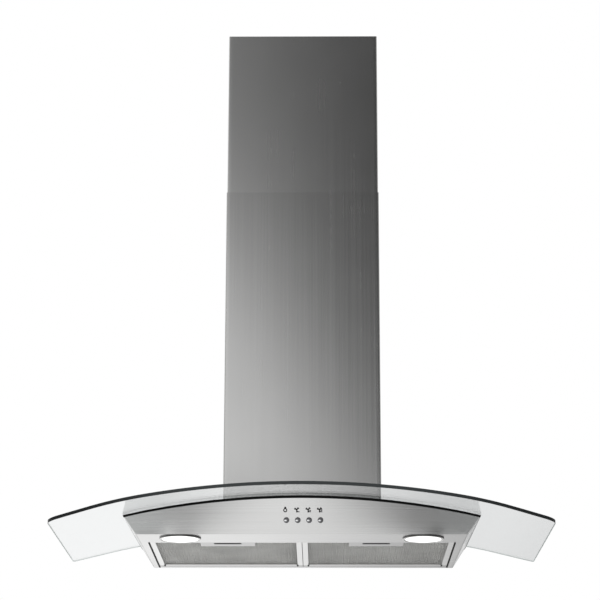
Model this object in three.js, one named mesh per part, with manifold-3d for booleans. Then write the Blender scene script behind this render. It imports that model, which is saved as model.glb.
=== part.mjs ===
// Curved glass range hood: an arched glass canopy over a shallow steel body with two grease filters,
// two lamps and four push buttons, and a telescoping chimney cover over a centrifugal blower.
// Units are millimetres. +Z is up, the wall is the plane Y = 0 and the front looks along -Y.
// Heights in the source are measured from the body's underside; the finished group is lowered so that
// the origin is the middle of the body's back face.
import * as THREE from "three";
import { mergeVertices } from "three/addons/utils/BufferGeometryUtils.js";
import Module from "manifold-3d";

const wasm = await Module();
wasm.setup();
const { Manifold, Mesh } = wasm;

// ---- Driving dimensions ----------------------------------------------------------------------------

const GAP = 0.3; // between pieces that touch
const SHEET = 1; // steel of the body and the blower box
const DATUM_HEIGHT = 30; // origin above the body's underside
const PAST = 3; // a cutting space runs on past what it cuts

const GLASS_WIDTH = 898;
const GLASS_REACH = 500; // wall to the middle of the front edge
const GLASS_REAR_GAP = 10; // wall to the rear edge
const GLASS_THICKNESS = 6;
const GLASS_UNDERSIDE = 65.4; // crown of the glass above the body's underside
const CROWN_RADIUS = 2050;
const CROWN_HALF_SPAN = 280;
const SHOULDER_RADIUS = 900;
const SHOULDER_HALF_SPAN = 370;
const FRONT_BOW_RADIUS = 1700; // plan radius of the glass's front edge
const GLASS_FRONT_CORNER = 25;
const GLASS_REAR_CORNER = 8;
const GLASS_NOTCH_WIDTH = 224; // the blower box stands in this notch
const GLASS_NOTCH_REACH = 226;
const GLASS_NOTCH_CORNER = 12;

const GASKET_THICKNESS = 4.4;
const GASKET_WIDTH = 9;

const BODY_BOTTOM_WIDTH = 595;
const BODY_TOP_WIDTH = 642;
const BODY_BOTTOM_REACH = 374; // wall to the straight lower edge of the front
const BODY_FRONT_FLARE = 27; // the middle of the bowed upper edge stands out by this
const BODY_TOP_REACH = BODY_BOTTOM_REACH + BODY_FRONT_FLARE;
const BODY_BOW_RADIUS = 1080;
const BODY_SIDE_TAPER = 6; // each side draws in by this much on its way to the wall
const BODY_CORNER = 4;
const BODY_RUN_ON = 8; // the body's form runs on past its underside and top edge before it is cut
const FRAME_UPSTAND = 11; // folded edge of the underside frame
const DECK_OPENING_WIDTH = 190;
const DECK_OPENING_REACH = 206;
const DECK_OPENING_REAR = 24;

const FILTER_FIELD_WIDTH = 560;
const FILTER_FIELD_REAR = 14; // steel strip behind the filters
const LAMP_STRIP = 86; // lower front edge to the filters
const FILTER_FIELD_FRONT = BODY_BOTTOM_REACH - LAMP_STRIP;
const FILTER_HEIGHT = 9;
const FILTER_SHEET = 1;
const FILTER_SIDE_FLANGE = 10;
const FILTER_REAR_FLANGE = 24;
const FILTER_FRONT_FLANGE = 2;
const FILTER_RELIEF_RADIUS = 2.2; // notch at each rear corner of the lower window
const FILTER_EDGE_GAP = 0.5; // to the other filter's middle and to the opening's front
const FILTER_SIDE_GAP = 2; // to the opening's sides
const FILTER_REAR_GAP = 1.2; // lets the frame swing past the rear strip
const FILTER_TONGUE_WIDTH = 24;
const FILTER_TONGUE_LAP = 6;
const MESH_PITCH = 8;
const MESH_WEB = 2.4; // thickness of the layered mesh

const LATCH_FROM_CENTRE = 136;
const LATCH_PLATE_WIDTH = 100;
const LATCH_PLATE_REACH = 39;
const LATCH_SLOT_WIDTH = 50;
const LATCH_SLOT_DEPTH = 14.5;
const LATCH_SLOT_MARGIN = 4.5; // slot to the filter's front edge
const LATCH_SLIDE_WIDTH = 64;
const LATCH_SLIDE_REACH = 24;
const LATCH_SHEET = 1.3;
const LATCH_GRIP_WIDTH = 40;
const LATCH_GRIP_SETBACK = 6; // slot's front edge to the grip
const LATCH_TONGUE_WIDTH = 22;
const LATCH_TONGUE_LAP = 3.5; // over the lamp strip
const LATCH_TRAVEL = 5;

const LAMP_FROM_CENTRE = 219.5;
const LAMP_SETBACK = 40; // lower front edge to the lamp's axis
const LAMP_REACH = BODY_BOTTOM_REACH - LAMP_SETBACK;
const LAMP_RIM_RADIUS = 37.5;
const LAMP_RIM_DROP = 2.2;
const LAMP_RIM_WIDTH = 2.2;
const LAMP_NECK_RADIUS = 33.2;
const LAMP_NECK_HEIGHT = 6;
const LAMP_NECK_WALL = 1.5;
const LAMP_HOLE_CLEARANCE = 0.4;
const LAMP_SHELF = 0.9; // rim's shelf over the lens
const LENS_EDGE = 0.8;
const LENS_DOME = 1.1;
const HOLDER_FLANGE_RADIUS = 36;
const HOLDER_CAN_RADIUS = 26;
const HOLDER_CAN_HEIGHT = 16;

const BUTTON_PITCH = 20.3;
const BUTTON_ROW_OFFSET = 3.5; // the row's middle to the right of the centreline
const BUTTON_RADIUS = 4.9;
const BUTTON_HOLE_CLEARANCE = 0.3;
const BUTTON_HEIGHT_ON_PANEL = 23.5; // above the underside
const BUTTON_PROUD = 2.6;
const BUTTON_FLANGE_RADIUS = 6.4;
const BUTTON_FLANGE = 1.5;
const BUTTON_STEM_RADIUS = 2.2;
const BUTTON_STEM = 9;
const BUTTON_TRAVEL = 2;
const SWITCH_BLOCK_DEPTH = 14;
const SWITCH_BLOCK_HEIGHT = 15;
const SWITCH_BLOCK_MARGIN = 11; // outer stem to the block's end
const SWITCH_BLOCK_FOOT = 4;
const SWITCH_BORE_DEPTH = 8;

const CHIMNEY_WIDTH = 293; // lower cover
const CHIMNEY_REACH = 262;
const CHIMNEY_SHEET = 0.8;
const CHIMNEY_BEND = 2.5;
const CHIMNEY_SLIDE_GAP = 0.4;
const CHIMNEY_LIP = 15;
const LOWER_CHIMNEY_TOP = 685;
const UPPER_CHIMNEY_TOP = 1010;
const UPPER_CHIMNEY_LENGTH = 440;
const UPPER_CHIMNEY_REAR = 3; // wall to the upper cover's rear edges

const BRACKET_BELOW_TOP = 16; // chimney's top to the bracket's underside
const BRACKET_HEIGHT = 14;
const BRACKET_SHEET = 1.6;
const BRACKET_EAR = 42;
const CHIMNEY_SCREW_REACH = 24;
const SCREW_HEAD_RADIUS = 3.5;
const SCREW_HEAD_HEIGHT = 2.4;
const SCREW_RADIUS = 1.8;
const SCREW_LENGTH = 9;
const SCREW_CLEARANCE = 0.3;

const HOOK_FROM_CENTRE = 200;
const HOOK_WIDTH = 56;
const HOOK_WINDOW_LOW = 18;
const HOOK_WINDOW_HIGH = 36;
const HOOK_SHEET = 2.5;
const HOOK_THROAT = 5;
const HOOK_LIP = 9;

const BOLT_FROM_CENTRE = 127;
const BOLT_REACHES = [60, 190];
const BOLT_RADIUS = 2.5;
const BOLT_HEAD_RADIUS = 5;
const BOLT_HEAD_HEIGHT = 3.4;
const BOLT_WASHER_RADIUS = 8;
const BOLT_WASHER = 1.2;
const BOLT_TAIL = 7; // below the deck
const BOLT_GLASS_CLEARANCE = 1.5;

const BLOWER_BOX_WIDTH = 212;
const BLOWER_BOX_REAR = 14;
const BLOWER_BOX_REACH = 220;
const BLOWER_BOX_TOP = 330;
const BLOWER_BOX_FLANGE = 7;
const SCROLL_AXIS_X = -8;
const SCROLL_AXIS_HEIGHT = 172;
const SCROLL_START_RADIUS = 80;
const SCROLL_END_RADIUS = 103;
const SCROLL_TONGUE_DEG = 105;
const SCROLL_REAR = 72;
const SCROLL_DEPTH = 94;
const SCROLL_WALL = 1.5;
const SCROLL_INLET_RADIUS = 58;
const INLET_LIP = 5;
const IMPELLER_RADIUS = 74;
const IMPELLER_EYE_RADIUS = 61;
const IMPELLER_SIDE_GAP = 5; // to the scroll's side walls
const IMPELLER_DISC = 1.6;
const IMPELLER_RING = 3;
const IMPELLER_BLADES = 36;
const BLADE_THICKNESS = 1.1;
const BLADE_CURVE_RADIUS = 13;
const BLADE_INSET = 0.7; // blade's edges inside the ring's edges
const IMPELLER_HUB_RADIUS = 12;
const IMPELLER_HUB_LENGTH = 24;
const SHAFT_RADIUS = 4;
const SHAFT_IN_MOTOR = 16;
const MOTOR_RADIUS = 46;
const MOTOR_SHOULDER_RADIUS = 34;
const MOTOR_REAR_GAP = 2; // to the blower box's back wall

const DUCT_RADIUS = 74.8; // outside of the 150 mm collar
const COLLAR_WALL = 1.5;
const COLLAR_HEIGHT = 62;
const COLLAR_FLANGE_WIDTH = 204;
const COLLAR_FLANGE_DEPTH = 162;
const COLLAR_REACH = 117;
const FLAP_HEIGHT = 24; // pin above the collar's flange
const FLAP_SHEET = 1.2;
const FLAP_PIN_RADIUS = 2;
const FLAP_PIN_CLEARANCE = 0.3;
const FLAP_BARREL_WALL = 1.4;
const FLAP_EDGE_GAP = 1.2;
const FLAP_BARREL_GAP = 0.4;
const FLAP_BARREL_SHARE = 0.36; // half length of the middle barrel, as a share of the flap's radius
const PIN_BOSS_RADIUS = 4.5;
const PIN_BOSS_LENGTH = 5;

const CONTROL_BOX_WIDTH = 110;
const CONTROL_BOX_HEIGHT = 90;
const CONTROL_BOX_DEPTH = 32;
const CONTROL_BOX_BOTTOM = 130;
const CAPACITOR_RADIUS = 14;
const CAPACITOR_LENGTH = 58;
const CAPACITOR_FROM_CENTRE = 78;
const GLAND_RADIUS = 8;
const GLAND_LENGTH = 16;
const GLAND_BORE_RADIUS = 4;

// ---- Colours ---------------------------------------------------------------------------------------

const STEEL = { color: 0xb4b5b6, roughness: 0.36, metalness: 1 };
const DARK_STEEL = { color: 0x8e9092, roughness: 0.42, metalness: 1 };
const GALVANISED = { color: 0xa3a7a8, roughness: 0.5, metalness: 0.9 };
const ALUMINIUM = { color: 0xc9cacb, roughness: 0.4, metalness: 1 };
const CHROME = { color: 0x9a9da0, roughness: 0.12, metalness: 1 };
const BLACK_RUBBER = { color: 0x101112, roughness: 0.75, metalness: 0 };
const BLACK_PLASTIC = { color: 0x1c1d1f, roughness: 0.5, metalness: 0 };
const GREY_PLASTIC = { color: 0x6d7073, roughness: 0.55, metalness: 0 };
const GLASS = { color: 0xdfe9e6, roughness: 0.04, metalness: 0, transparent: true, opacity: 0.35 };
const LENS = { color: 0xfbfbf6, roughness: 0.3, metalness: 0 };

// ---- Solids ----------------------------------------------------------------------------------------

/** A manifold solid from a closed three.js geometry. */
function solid(geometry) {
  const bare = geometry.clone();
  bare.deleteAttribute("normal");
  bare.deleteAttribute("uv");
  const merged = mergeVertices(bare, 1e-4);
  const corners = merged.index.array;
  const kept = [];
  for (let i = 0; i < corners.length; i += 3) {
    const [a, b, c] = [corners[i], corners[i + 1], corners[i + 2]];
    if (a !== b && b !== c && c !== a) kept.push(a, b, c);
  }
  return new Manifold(
    new Mesh({
      numProp: 3,
      vertProperties: new Float32Array(merged.attributes.position.array),
      triVerts: new Uint32Array(kept),
    }),
  );
}

/** A three.js geometry from a manifold solid. */
function geometryOf(shape) {
  const mesh = shape.getMesh();
  const geometry = new THREE.BufferGeometry();
  geometry.setAttribute("position", new THREE.BufferAttribute(mesh.vertProperties, 3));
  geometry.setIndex(new THREE.BufferAttribute(mesh.triVerts, 1));
  const flat = geometry.toNonIndexed();
  flat.computeVertexNormals();
  return flat;
}

/** A box between two values on each axis, given in either order. */
function block([x0, x1], [y0, y1], [z0, z1]) {
  const size = [Math.abs(x1 - x0), Math.abs(y1 - y0), Math.abs(z1 - z0)];
  const geometry = new THREE.BoxGeometry(...size);
  geometry.translate((x0 + x1) / 2, (y0 + y1) / 2, (z0 + z1) / 2);
  return solid(geometry);
}

/** Extrudes a closed outline of [a, b] points along a third axis, from one depth to another. */
function prism(points, from, to, [axisA, axisB, axisDepth]) {
  const outline = points.map(([a, b]) => new THREE.Vector2(a, b));
  if (THREE.ShapeUtils.isClockWise(outline)) outline.reverse();
  const settings = { depth: to - from, bevelEnabled: false };
  const geometry = new THREE.ExtrudeGeometry(new THREE.Shape(outline), settings);
  geometry.translate(0, 0, from);
  geometry.applyMatrix4(new THREE.Matrix4().makeBasis(axisA, axisB, axisDepth));
  return solid(geometry);
}

const X = new THREE.Vector3(1, 0, 0);
const Y = new THREE.Vector3(0, 1, 0);
const Z = new THREE.Vector3(0, 0, 1);
const FRONT = new THREE.Vector3(0, -1, 0);

/** Outline of [x, y] points, extruded upward. */
const prismUp = (points, from, to) => prism(points, from, to, [X, Y, Z]);
/** Outline of [x, z] points, extruded from one distance in front of the wall to another. */
const prismFromWall = (points, from, to) => prism(points, from, to, [X, Z, FRONT]);
/** Outline of [y, z] points, extruded along X. */
const prismAcross = (points, from, to) => prism(points, from, to, [Y, Z, X]);

/** Revolves a closed profile of [radius, height] points about a line through a point. */
function revolve(profile, segments, at, direction) {
  const points = profile.map(([radius, height]) => new THREE.Vector2(radius, height));
  if (THREE.ShapeUtils.isClockWise(points)) points.reverse();
  points.push(points[0].clone());
  const geometry = new THREE.LatheGeometry(points, segments);
  const turn = new THREE.Quaternion().setFromUnitVectors(Y, direction);
  geometry.applyQuaternion(turn);
  geometry.translate(at.x, at.y, at.z);
  return solid(geometry);
}

/** A plain cylinder from one height to another along a direction through a point. */
function rod(radius, from, to, at, direction, segments = 24) {
  const profile = [[0, from], [radius, from], [radius, to], [0, to]];
  return revolve(profile, segments, at, direction);
}

/** Points on a circular arc, both ends included. */
function arc(cx, cy, radius, fromDeg, toDeg, steps) {
  const points = [];
  for (let i = 0; i <= steps; i++) {
    const angle = THREE.MathUtils.degToRad(fromDeg + ((toDeg - fromDeg) * i) / steps);
    points.push([cx + radius * Math.cos(angle), cy + radius * Math.sin(angle)]);
  }
  return points;
}

/** A rectangle with rounded corners. */
function roundedRectangle([x0, x1], [y0, y1], radius, steps = 3) {
  return [
    ...arc(x1 - radius, y1 - radius, radius, 0, 90, steps),
    ...arc(x0 + radius, y1 - radius, radius, 90, 180, steps),
    ...arc(x0 + radius, y0 + radius, radius, 180, 270, steps),
    ...arc(x1 - radius, y0 + radius, radius, 270, 360, steps),
  ];
}

// ---- The arch that the glass, seal, deck and chimney share -----------------------------------------

const crownSine = CROWN_HALF_SPAN / CROWN_RADIUS;
const wingSine = crownSine + (SHOULDER_HALF_SPAN - CROWN_HALF_SPAN) / SHOULDER_RADIUS;

/** Sine of the arch's slope at a distance from the centreline: crown arc, shoulder arc, flat wing. */
function archSine(x) {
  const distance = Math.abs(x);
  if (distance <= CROWN_HALF_SPAN) return distance / CROWN_RADIUS;
  return Math.min(wingSine, crownSine + (distance - CROWN_HALF_SPAN) / SHOULDER_RADIUS);
}

/** How far the arch has fallen below its crown. */
function archDrop(x) {
  const distance = Math.abs(x);
  const cosine = (sine) => Math.sqrt(1 - sine * sine);
  const crown = CROWN_RADIUS * (1 - cosine(Math.min(archSine(x), crownSine)));
  const shoulder = SHOULDER_RADIUS * (cosine(crownSine) - cosine(Math.max(archSine(x), crownSine)));
  const wing = Math.max(0, distance - SHOULDER_HALF_SPAN) * (wingSine / cosine(wingSine));
  return crown + shoulder + wing;
}

/** Height of a surface that lies parallel to the glass's underside, at an offset along the normal. */
function archHeight(x, offset) {
  return GLASS_UNDERSIDE - archDrop(x) + offset / Math.sqrt(1 - archSine(x) ** 2);
}

const ARCH_MARGIN = 25; // the arch runs on past the glass, whose outline cuts it

/** Distances from the centreline at which the arch has a vertex. */
function archStations() {
  const half = [];
  const crownSteps = 7;
  const shoulderSteps = 5;
  for (let i = 0; i <= crownSteps; i++) half.push((CROWN_HALF_SPAN * i) / crownSteps);
  for (let i = 1; i <= shoulderSteps; i++) {
    half.push(CROWN_HALF_SPAN + ((SHOULDER_HALF_SPAN - CROWN_HALF_SPAN) * i) / shoulderSteps);
  }
  half.push(GLASS_WIDTH / 2 + ARCH_MARGIN);
  return [...half.slice(1).reverse().map((x) => -x), ...half];
}

/** [x, z] points of a surface parallel to the glass's underside. */
function archLine(offset) {
  return archStations().map((x) => [
    x + offset * archSine(x) * Math.sign(x),
    GLASS_UNDERSIDE - archDrop(x) + offset * Math.sqrt(1 - archSine(x) ** 2),
  ]);
}

/** The layer between two surfaces parallel to the glass's underside. */
function archLayer(low, high) {
  return prismFromWall([...archLine(low), ...archLine(high).reverse()], -1, GLASS_REACH + 1);
}

/** Everything below a surface parallel to the glass's underside. */
function belowArch(offset) {
  const reach = GLASS_WIDTH / 2 + ARCH_MARGIN;
  const floor = -20;
  const outline = [[-reach, floor], [reach, floor], ...archLine(offset).reverse()];
  return prismFromWall(outline, -1, GLASS_REACH + 1);
}

const deckTop = -GASKET_THICKNESS - 2 * GAP; // offsets from the glass's underside
const glassTop = GLASS_THICKNESS;

// ---- The body's form: straight lower edge, bowed and arched upper edge, flared sides ----------------

/** Stations along the front: the rounded ends by angle, and the stretch between them by share. */
function bodyStations() {
  const ends = [3, 2, 1].map((step) => 30 * step);
  const spans = 16;
  const stations = ends.map((angle) => ({ side: -1, angle }));
  for (let i = 0; i <= spans; i++) stations.push({ share: (2 * i) / spans - 1 });
  return [...stations, ...ends.reverse().map((angle) => ({ side: 1, angle }))];
}

/** [x, distance from the wall] of one station on a level of the body, drawn in by an inset. */
function bodyPlanPoint(station, width, reachAt, inset) {
  const radius = Math.max(BODY_CORNER - inset, GAP);
  const straight = width / 2 - inset - radius;
  if (station.share !== undefined) {
    const x = station.share * straight;
    return [x, reachAt(x) - inset];
  }
  const angle = THREE.MathUtils.degToRad(station.angle);
  const x = station.side * (straight + radius * Math.sin(angle));
  return [x, reachAt(station.side * straight) - inset - radius * (1 - Math.cos(angle))];
}

/** Share of the body's width that is left at a distance from the wall. */
function widthLeft(reach, distance) {
  return 1 - ((2 * BODY_SIDE_TAPER) / BODY_BOTTOM_WIDTH) * (1 - distance / reach);
}

const bodyTopReachAt = (x) => BODY_TOP_REACH - BODY_BOW_RADIUS + Math.sqrt(BODY_BOW_RADIUS ** 2 - x ** 2);

/**
 * The space inside the body's front and sides, drawn in by an inset and starting at a distance from the
 * wall. It runs on past the underside and the top edge, so that other surfaces cut it to height.
 */
function bodySpace(inset, back) {
  const positions = [];
  const index = [];
  const stations = bodyStations();
  for (const station of stations) {
    const [bottomX, bottomReach] = bodyPlanPoint(station, BODY_BOTTOM_WIDTH, () => BODY_BOTTOM_REACH, inset);
    const [topX, topReach] = bodyPlanPoint(station, BODY_TOP_WIDTH, bodyTopReachAt, inset);
    const topHeight = archHeight(topX, deckTop);
    const levels = [-BODY_RUN_ON, 0, topHeight, topHeight + BODY_RUN_ON].map((height) => {
      const share = height / topHeight;
      const x = bottomX + (topX - bottomX) * share;
      return { x, reach: bottomReach + (topReach - bottomReach) * share, height };
    });
    levels.forEach(({ x, reach, height }) => positions.push(x, -reach, height));
    levels.reverse().forEach(({ x, reach, height }) => {
      positions.push(x * widthLeft(reach, back), -back, height);
    });
  }
  const ring = positions.length / 3 / stations.length;
  for (let i = 0; i + 1 < stations.length; i++) {
    for (let corner = 0; corner < ring; corner++) {
      const a = i * ring + corner;
      const b = i * ring + ((corner + 1) % ring);
      index.push(a, a + ring, b, b, a + ring, b + ring);
    }
  }
  const last = (stations.length - 1) * ring;
  for (let corner = 1; corner + 1 < ring; corner++) {
    index.push(0, corner, corner + 1, last, last + corner + 1, last + corner);
  }
  const geometry = new THREE.BufferGeometry();
  geometry.setAttribute("position", new THREE.Float32BufferAttribute(positions, 3));
  geometry.setIndex(index);
  return solid(geometry);
}

const insideSkirt = SHEET + GAP;

/** A slab over the whole plan, between two heights. */
function slab(low, high) {
  return block([-GLASS_WIDTH, GLASS_WIDTH], [GLASS_REACH, -GLASS_REACH], [low, high]);
}

/** Front panel and side walls, one folded sheet, with the button holes. */
function bodySkirt() {
  const outside = bodySpace(0, GAP).intersect(belowArch(deckTop)).intersect(slab(0, GLASS_UNDERSIDE));
  const inside = bodySpace(SHEET, -PAST);
  const holes = buttonPlaces().map((at) =>
    rod(BUTTON_RADIUS + BUTTON_HOLE_CLEARANCE, -PAST, PAST, at, panelNormal, 16),
  );
  return outside.subtract(inside).subtract(Manifold.union(holes));
}

/** Underside plate with its folded edge, the lamp holes and the opening that the filters close. */
function underFrame() {
  const plate = bodySpace(insideSkirt, GAP).intersect(slab(0, SHEET));
  const hollow = bodySpace(insideSkirt + SHEET, -PAST);
  const edge = bodySpace(insideSkirt, SHEET + GAP).subtract(hollow).intersect(slab(0, FRAME_UPSTAND));
  const half = FILTER_FIELD_WIDTH / 2;
  const field = block([-half, half], [-FILTER_FIELD_REAR, -FILTER_FIELD_FRONT], [-PAST, PAST]);
  const folds = [-1, 1].map((side) =>
    block(
      [side * half, side * (half + SHEET)],
      [-FILTER_FIELD_REAR, -FILTER_FIELD_FRONT],
      [0, FRAME_UPSTAND],
    ),
  );
  const lampHole = LAMP_NECK_RADIUS + LAMP_HOLE_CLEARANCE;
  const lamps = lampPlaces().map((at) => rod(lampHole, -PAST, PAST, at, Z, LAMP_SEGMENTS));
  return Manifold.union([plate, edge, ...folds]).subtract(Manifold.union([field, ...lamps]));
}

/** Deck under the glass and the back wall, one folded sheet. */
function deckAndBack() {
  const inside = bodySpace(insideSkirt, 0);
  const deck = archLayer(deckTop - SHEET, deckTop).intersect(inside);
  const wallStrip = block([-GLASS_WIDTH, GLASS_WIDTH], [PAST, -SHEET], [SHEET + GAP, GLASS_UNDERSIDE]);
  const back = inside.intersect(wallStrip).intersect(belowArch(deckTop - SHEET / 2));
  const half = DECK_OPENING_WIDTH / 2;
  const opening = prismUp(
    roundedRectangle([-half, half], [-DECK_OPENING_REACH, -DECK_OPENING_REAR], GLASS_NOTCH_CORNER),
    GLASS_UNDERSIDE / 2,
    GLASS_UNDERSIDE + PAST,
  );
  const windows = [-1, 1].map((side) => {
    const middle = side * HOOK_FROM_CENTRE;
    const reach = HOOK_WIDTH / 2 + 2;
    const height = [HOOK_WINDOW_LOW, HOOK_WINDOW_HIGH];
    return block([middle - reach, middle + reach], [PAST, -SHEET - PAST], height);
  });
  const boltEnd = deckTop - SHEET - PAST;
  const bolts = boltPlaces().map(({ at, normal }) => rod(BOLT_RADIUS + GAP, boltEnd, 0, at, normal, 12));
  return deck.add(back).subtract(Manifold.union([opening, ...windows, ...bolts]));
}

/** Black seal around the body's top edge. */
function glassGasket() {
  const rim = bodySpace(GAP, GAP).subtract(bodySpace(GASKET_WIDTH - GAP, GASKET_WIDTH));
  return archLayer(-GASKET_THICKNESS - GAP, -GAP).intersect(rim);
}

/** Outline of the glass seen from above. */
function glassOutline() {
  const side = GLASS_WIDTH / 2;
  const bowCentre = FRONT_BOW_RADIUS - GLASS_REACH;
  const cornerX = side - GLASS_FRONT_CORNER;
  const cornerY = bowCentre - Math.sqrt((FRONT_BOW_RADIUS - GLASS_FRONT_CORNER) ** 2 - cornerX ** 2);
  const tangent = THREE.MathUtils.radToDeg(Math.atan2(cornerY - bowCentre, cornerX));
  const rearX = side - GLASS_REAR_CORNER;
  const rearY = -GLASS_REAR_GAP - GLASS_REAR_CORNER;
  return [
    ...arc(0, bowCentre, FRONT_BOW_RADIUS, -180 - tangent, tangent, 28).slice(0, -1),
    ...arc(cornerX, cornerY, GLASS_FRONT_CORNER, tangent, 0, 5),
    ...arc(rearX, rearY, GLASS_REAR_CORNER, 0, 90, 3),
    ...arc(-rearX, rearY, GLASS_REAR_CORNER, 90, 180, 3),
    ...arc(-cornerX, cornerY, GLASS_FRONT_CORNER, 180, 360 - 180 - tangent, 5).slice(0, -1),
  ];
}

/** Arched glass with the rear notch for the blower box and four bolt holes. */
function glassCanopy() {
  const plan = prismUp(glassOutline(), -GLASS_UNDERSIDE, 2 * GLASS_UNDERSIDE);
  const half = GLASS_NOTCH_WIDTH / 2;
  const notch = prismUp(
    roundedRectangle([-half, half], [-GLASS_NOTCH_REACH, 2 * GLASS_NOTCH_CORNER], GLASS_NOTCH_CORNER),
    -GLASS_UNDERSIDE,
    2 * GLASS_UNDERSIDE,
  );
  const holes = boltPlaces().map(({ at, normal }) =>
    rod(BOLT_RADIUS + BOLT_GLASS_CLEARANCE, -PAST, 3 * PAST, at, normal, 12),
  );
  return archLayer(0, glassTop).intersect(plan).subtract(Manifold.union([notch, ...holes]));
}

// ---- Glass bolts -----------------------------------------------------------------------------------

/** Where each bolt's axis meets the glass's underside, and the normal there. */
function boltPlaces() {
  return [-1, 1].flatMap((side) =>
    BOLT_REACHES.map((reach) => {
      const x = side * BOLT_FROM_CENTRE;
      const sine = archSine(x);
      return {
        at: new THREE.Vector3(x, -reach, archHeight(x, 0)),
        normal: new THREE.Vector3(side * sine, 0, Math.sqrt(1 - sine * sine)),
      };
    }),
  );
}

/** Bolt with a fixed washer: it clamps the glass to the deck. */
function glassBolt({ at, normal }) {
  const seat = glassTop + GAP;
  const washerTop = seat + BOLT_WASHER;
  const headTop = washerTop + BOLT_HEAD_HEIGHT;
  const profile = [
    [0, deckTop - SHEET - BOLT_TAIL],
    [BOLT_RADIUS, deckTop - SHEET - BOLT_TAIL],
    [BOLT_RADIUS, seat],
    [BOLT_WASHER_RADIUS, seat],
    [BOLT_WASHER_RADIUS, washerTop],
    [BOLT_HEAD_RADIUS, washerTop],
    [BOLT_HEAD_RADIUS, headTop],
    [0, headTop],
  ];
  return revolve(profile, 12, at, normal);
}

// ---- Controls --------------------------------------------------------------------------------------

const crownPanelHeight = archHeight(0, deckTop);
const panelLean = Math.atan2(BODY_TOP_REACH - BODY_BOTTOM_REACH, crownPanelHeight);
const panelNormal = new THREE.Vector3(0, -Math.cos(panelLean), -Math.sin(panelLean));
const panelUp = new THREE.Vector3(0, -Math.sin(panelLean), Math.cos(panelLean));

/** Points on the panel's outer face where the button axes pass. */
function buttonPlaces() {
  const reach = BODY_BOTTOM_REACH + BUTTON_HEIGHT_ON_PANEL * Math.tan(panelLean);
  return [-1.5, -0.5, 0.5, 1.5].map(
    (step) => new THREE.Vector3(BUTTON_ROW_OFFSET + step * BUTTON_PITCH, -reach, BUTTON_HEIGHT_ON_PANEL),
  );
}

const flangeBehind = SHEET + GAP + BUTTON_FLANGE; // depth of the button flange's rear face

/** Push button: a cap through the panel, a flange behind it and a stem into the switch block. */
function pushButton(at) {
  const crown = 0.8;
  const profile = [
    [0, -flangeBehind - BUTTON_STEM],
    [BUTTON_STEM_RADIUS, -flangeBehind - BUTTON_STEM],
    [BUTTON_STEM_RADIUS, -flangeBehind],
    [BUTTON_FLANGE_RADIUS, -flangeBehind],
    [BUTTON_FLANGE_RADIUS, -SHEET - GAP],
    [BUTTON_RADIUS, -SHEET - GAP],
    [BUTTON_RADIUS, BUTTON_PROUD - crown],
    [BUTTON_RADIUS - crown, BUTTON_PROUD],
    [0, BUTTON_PROUD],
  ];
  return revolve(profile, 16, at, panelNormal);
}

/** Block with a bore for each stem and two feet that reach the back of the panel. */
function switchBlock() {
  const places = buttonPlaces();
  const middle = places[0].clone().add(places[places.length - 1]).multiplyScalar(0.5);
  const halfWidth = 1.5 * BUTTON_PITCH + SWITCH_BLOCK_MARGIN;
  const footInside = halfWidth - SWITCH_BLOCK_FOOT;
  const face = -(flangeBehind + BUTTON_TRAVEL + 1);
  const bow = BODY_TOP_REACH - bodyTopReachAt(halfWidth + BUTTON_ROW_OFFSET); // the panel falls back so far
  const footEnd = -SHEET - GAP - bow;
  const outline = [
    [-halfWidth, face - SWITCH_BLOCK_DEPTH],
    [halfWidth, face - SWITCH_BLOCK_DEPTH],
    [halfWidth, footEnd],
    [footInside, footEnd],
    [footInside, face],
    [-footInside, face],
    [-footInside, footEnd],
    [-halfWidth, footEnd],
  ];
  const halfHeight = SWITCH_BLOCK_HEIGHT / 2;
  const across = new THREE.Vector3().crossVectors(X, panelNormal);
  const block = prism(outline, -halfHeight, halfHeight, [X, panelNormal, across]);
  const bores = places.map((at) =>
    rod(BUTTON_STEM_RADIUS + GAP, face - SWITCH_BORE_DEPTH, face + 1, at, panelNormal, 12),
  );
  return block.translate(middle.x, middle.y, middle.z).subtract(Manifold.union(bores));
}

// ---- Lamps -----------------------------------------------------------------------------------------

/** Lamp axes on the plane of the body's underside. */
function lampPlaces() {
  return [-1, 1].map((side) => new THREE.Vector3(side * LAMP_FROM_CENTRE, -LAMP_REACH, 0));
}

const LAMP_SEGMENTS = 28;
const shelfHeight = -GAP - LAMP_SHELF;
const lensRadius = LAMP_RIM_RADIUS - LAMP_RIM_WIDTH;

function lampBezel(at) {
  const neckInside = LAMP_NECK_RADIUS - LAMP_NECK_WALL;
  const profile = [
    [LAMP_RIM_RADIUS, -LAMP_RIM_DROP],
    [LAMP_RIM_RADIUS, -GAP],
    [LAMP_NECK_RADIUS, -GAP],
    [LAMP_NECK_RADIUS, LAMP_NECK_HEIGHT],
    [neckInside, LAMP_NECK_HEIGHT],
    [neckInside, shelfHeight],
    [lensRadius, shelfHeight],
    [lensRadius, -LAMP_RIM_DROP],
  ];
  return revolve(profile, LAMP_SEGMENTS, at, Z);
}

function lampLens(at) {
  const top = shelfHeight - GAP;
  const edge = top - LENS_EDGE;
  const radius = lensRadius - GAP;
  const rings = 3;
  const dome = [];
  for (let i = 0; i <= rings; i++) {
    const share = i / rings;
    dome.push([radius * share, edge - LENS_DOME * (1 - share * share)]);
  }
  return revolve([...dome, [radius, top], [0, top]], LAMP_SEGMENTS, at, Z);
}

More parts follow.
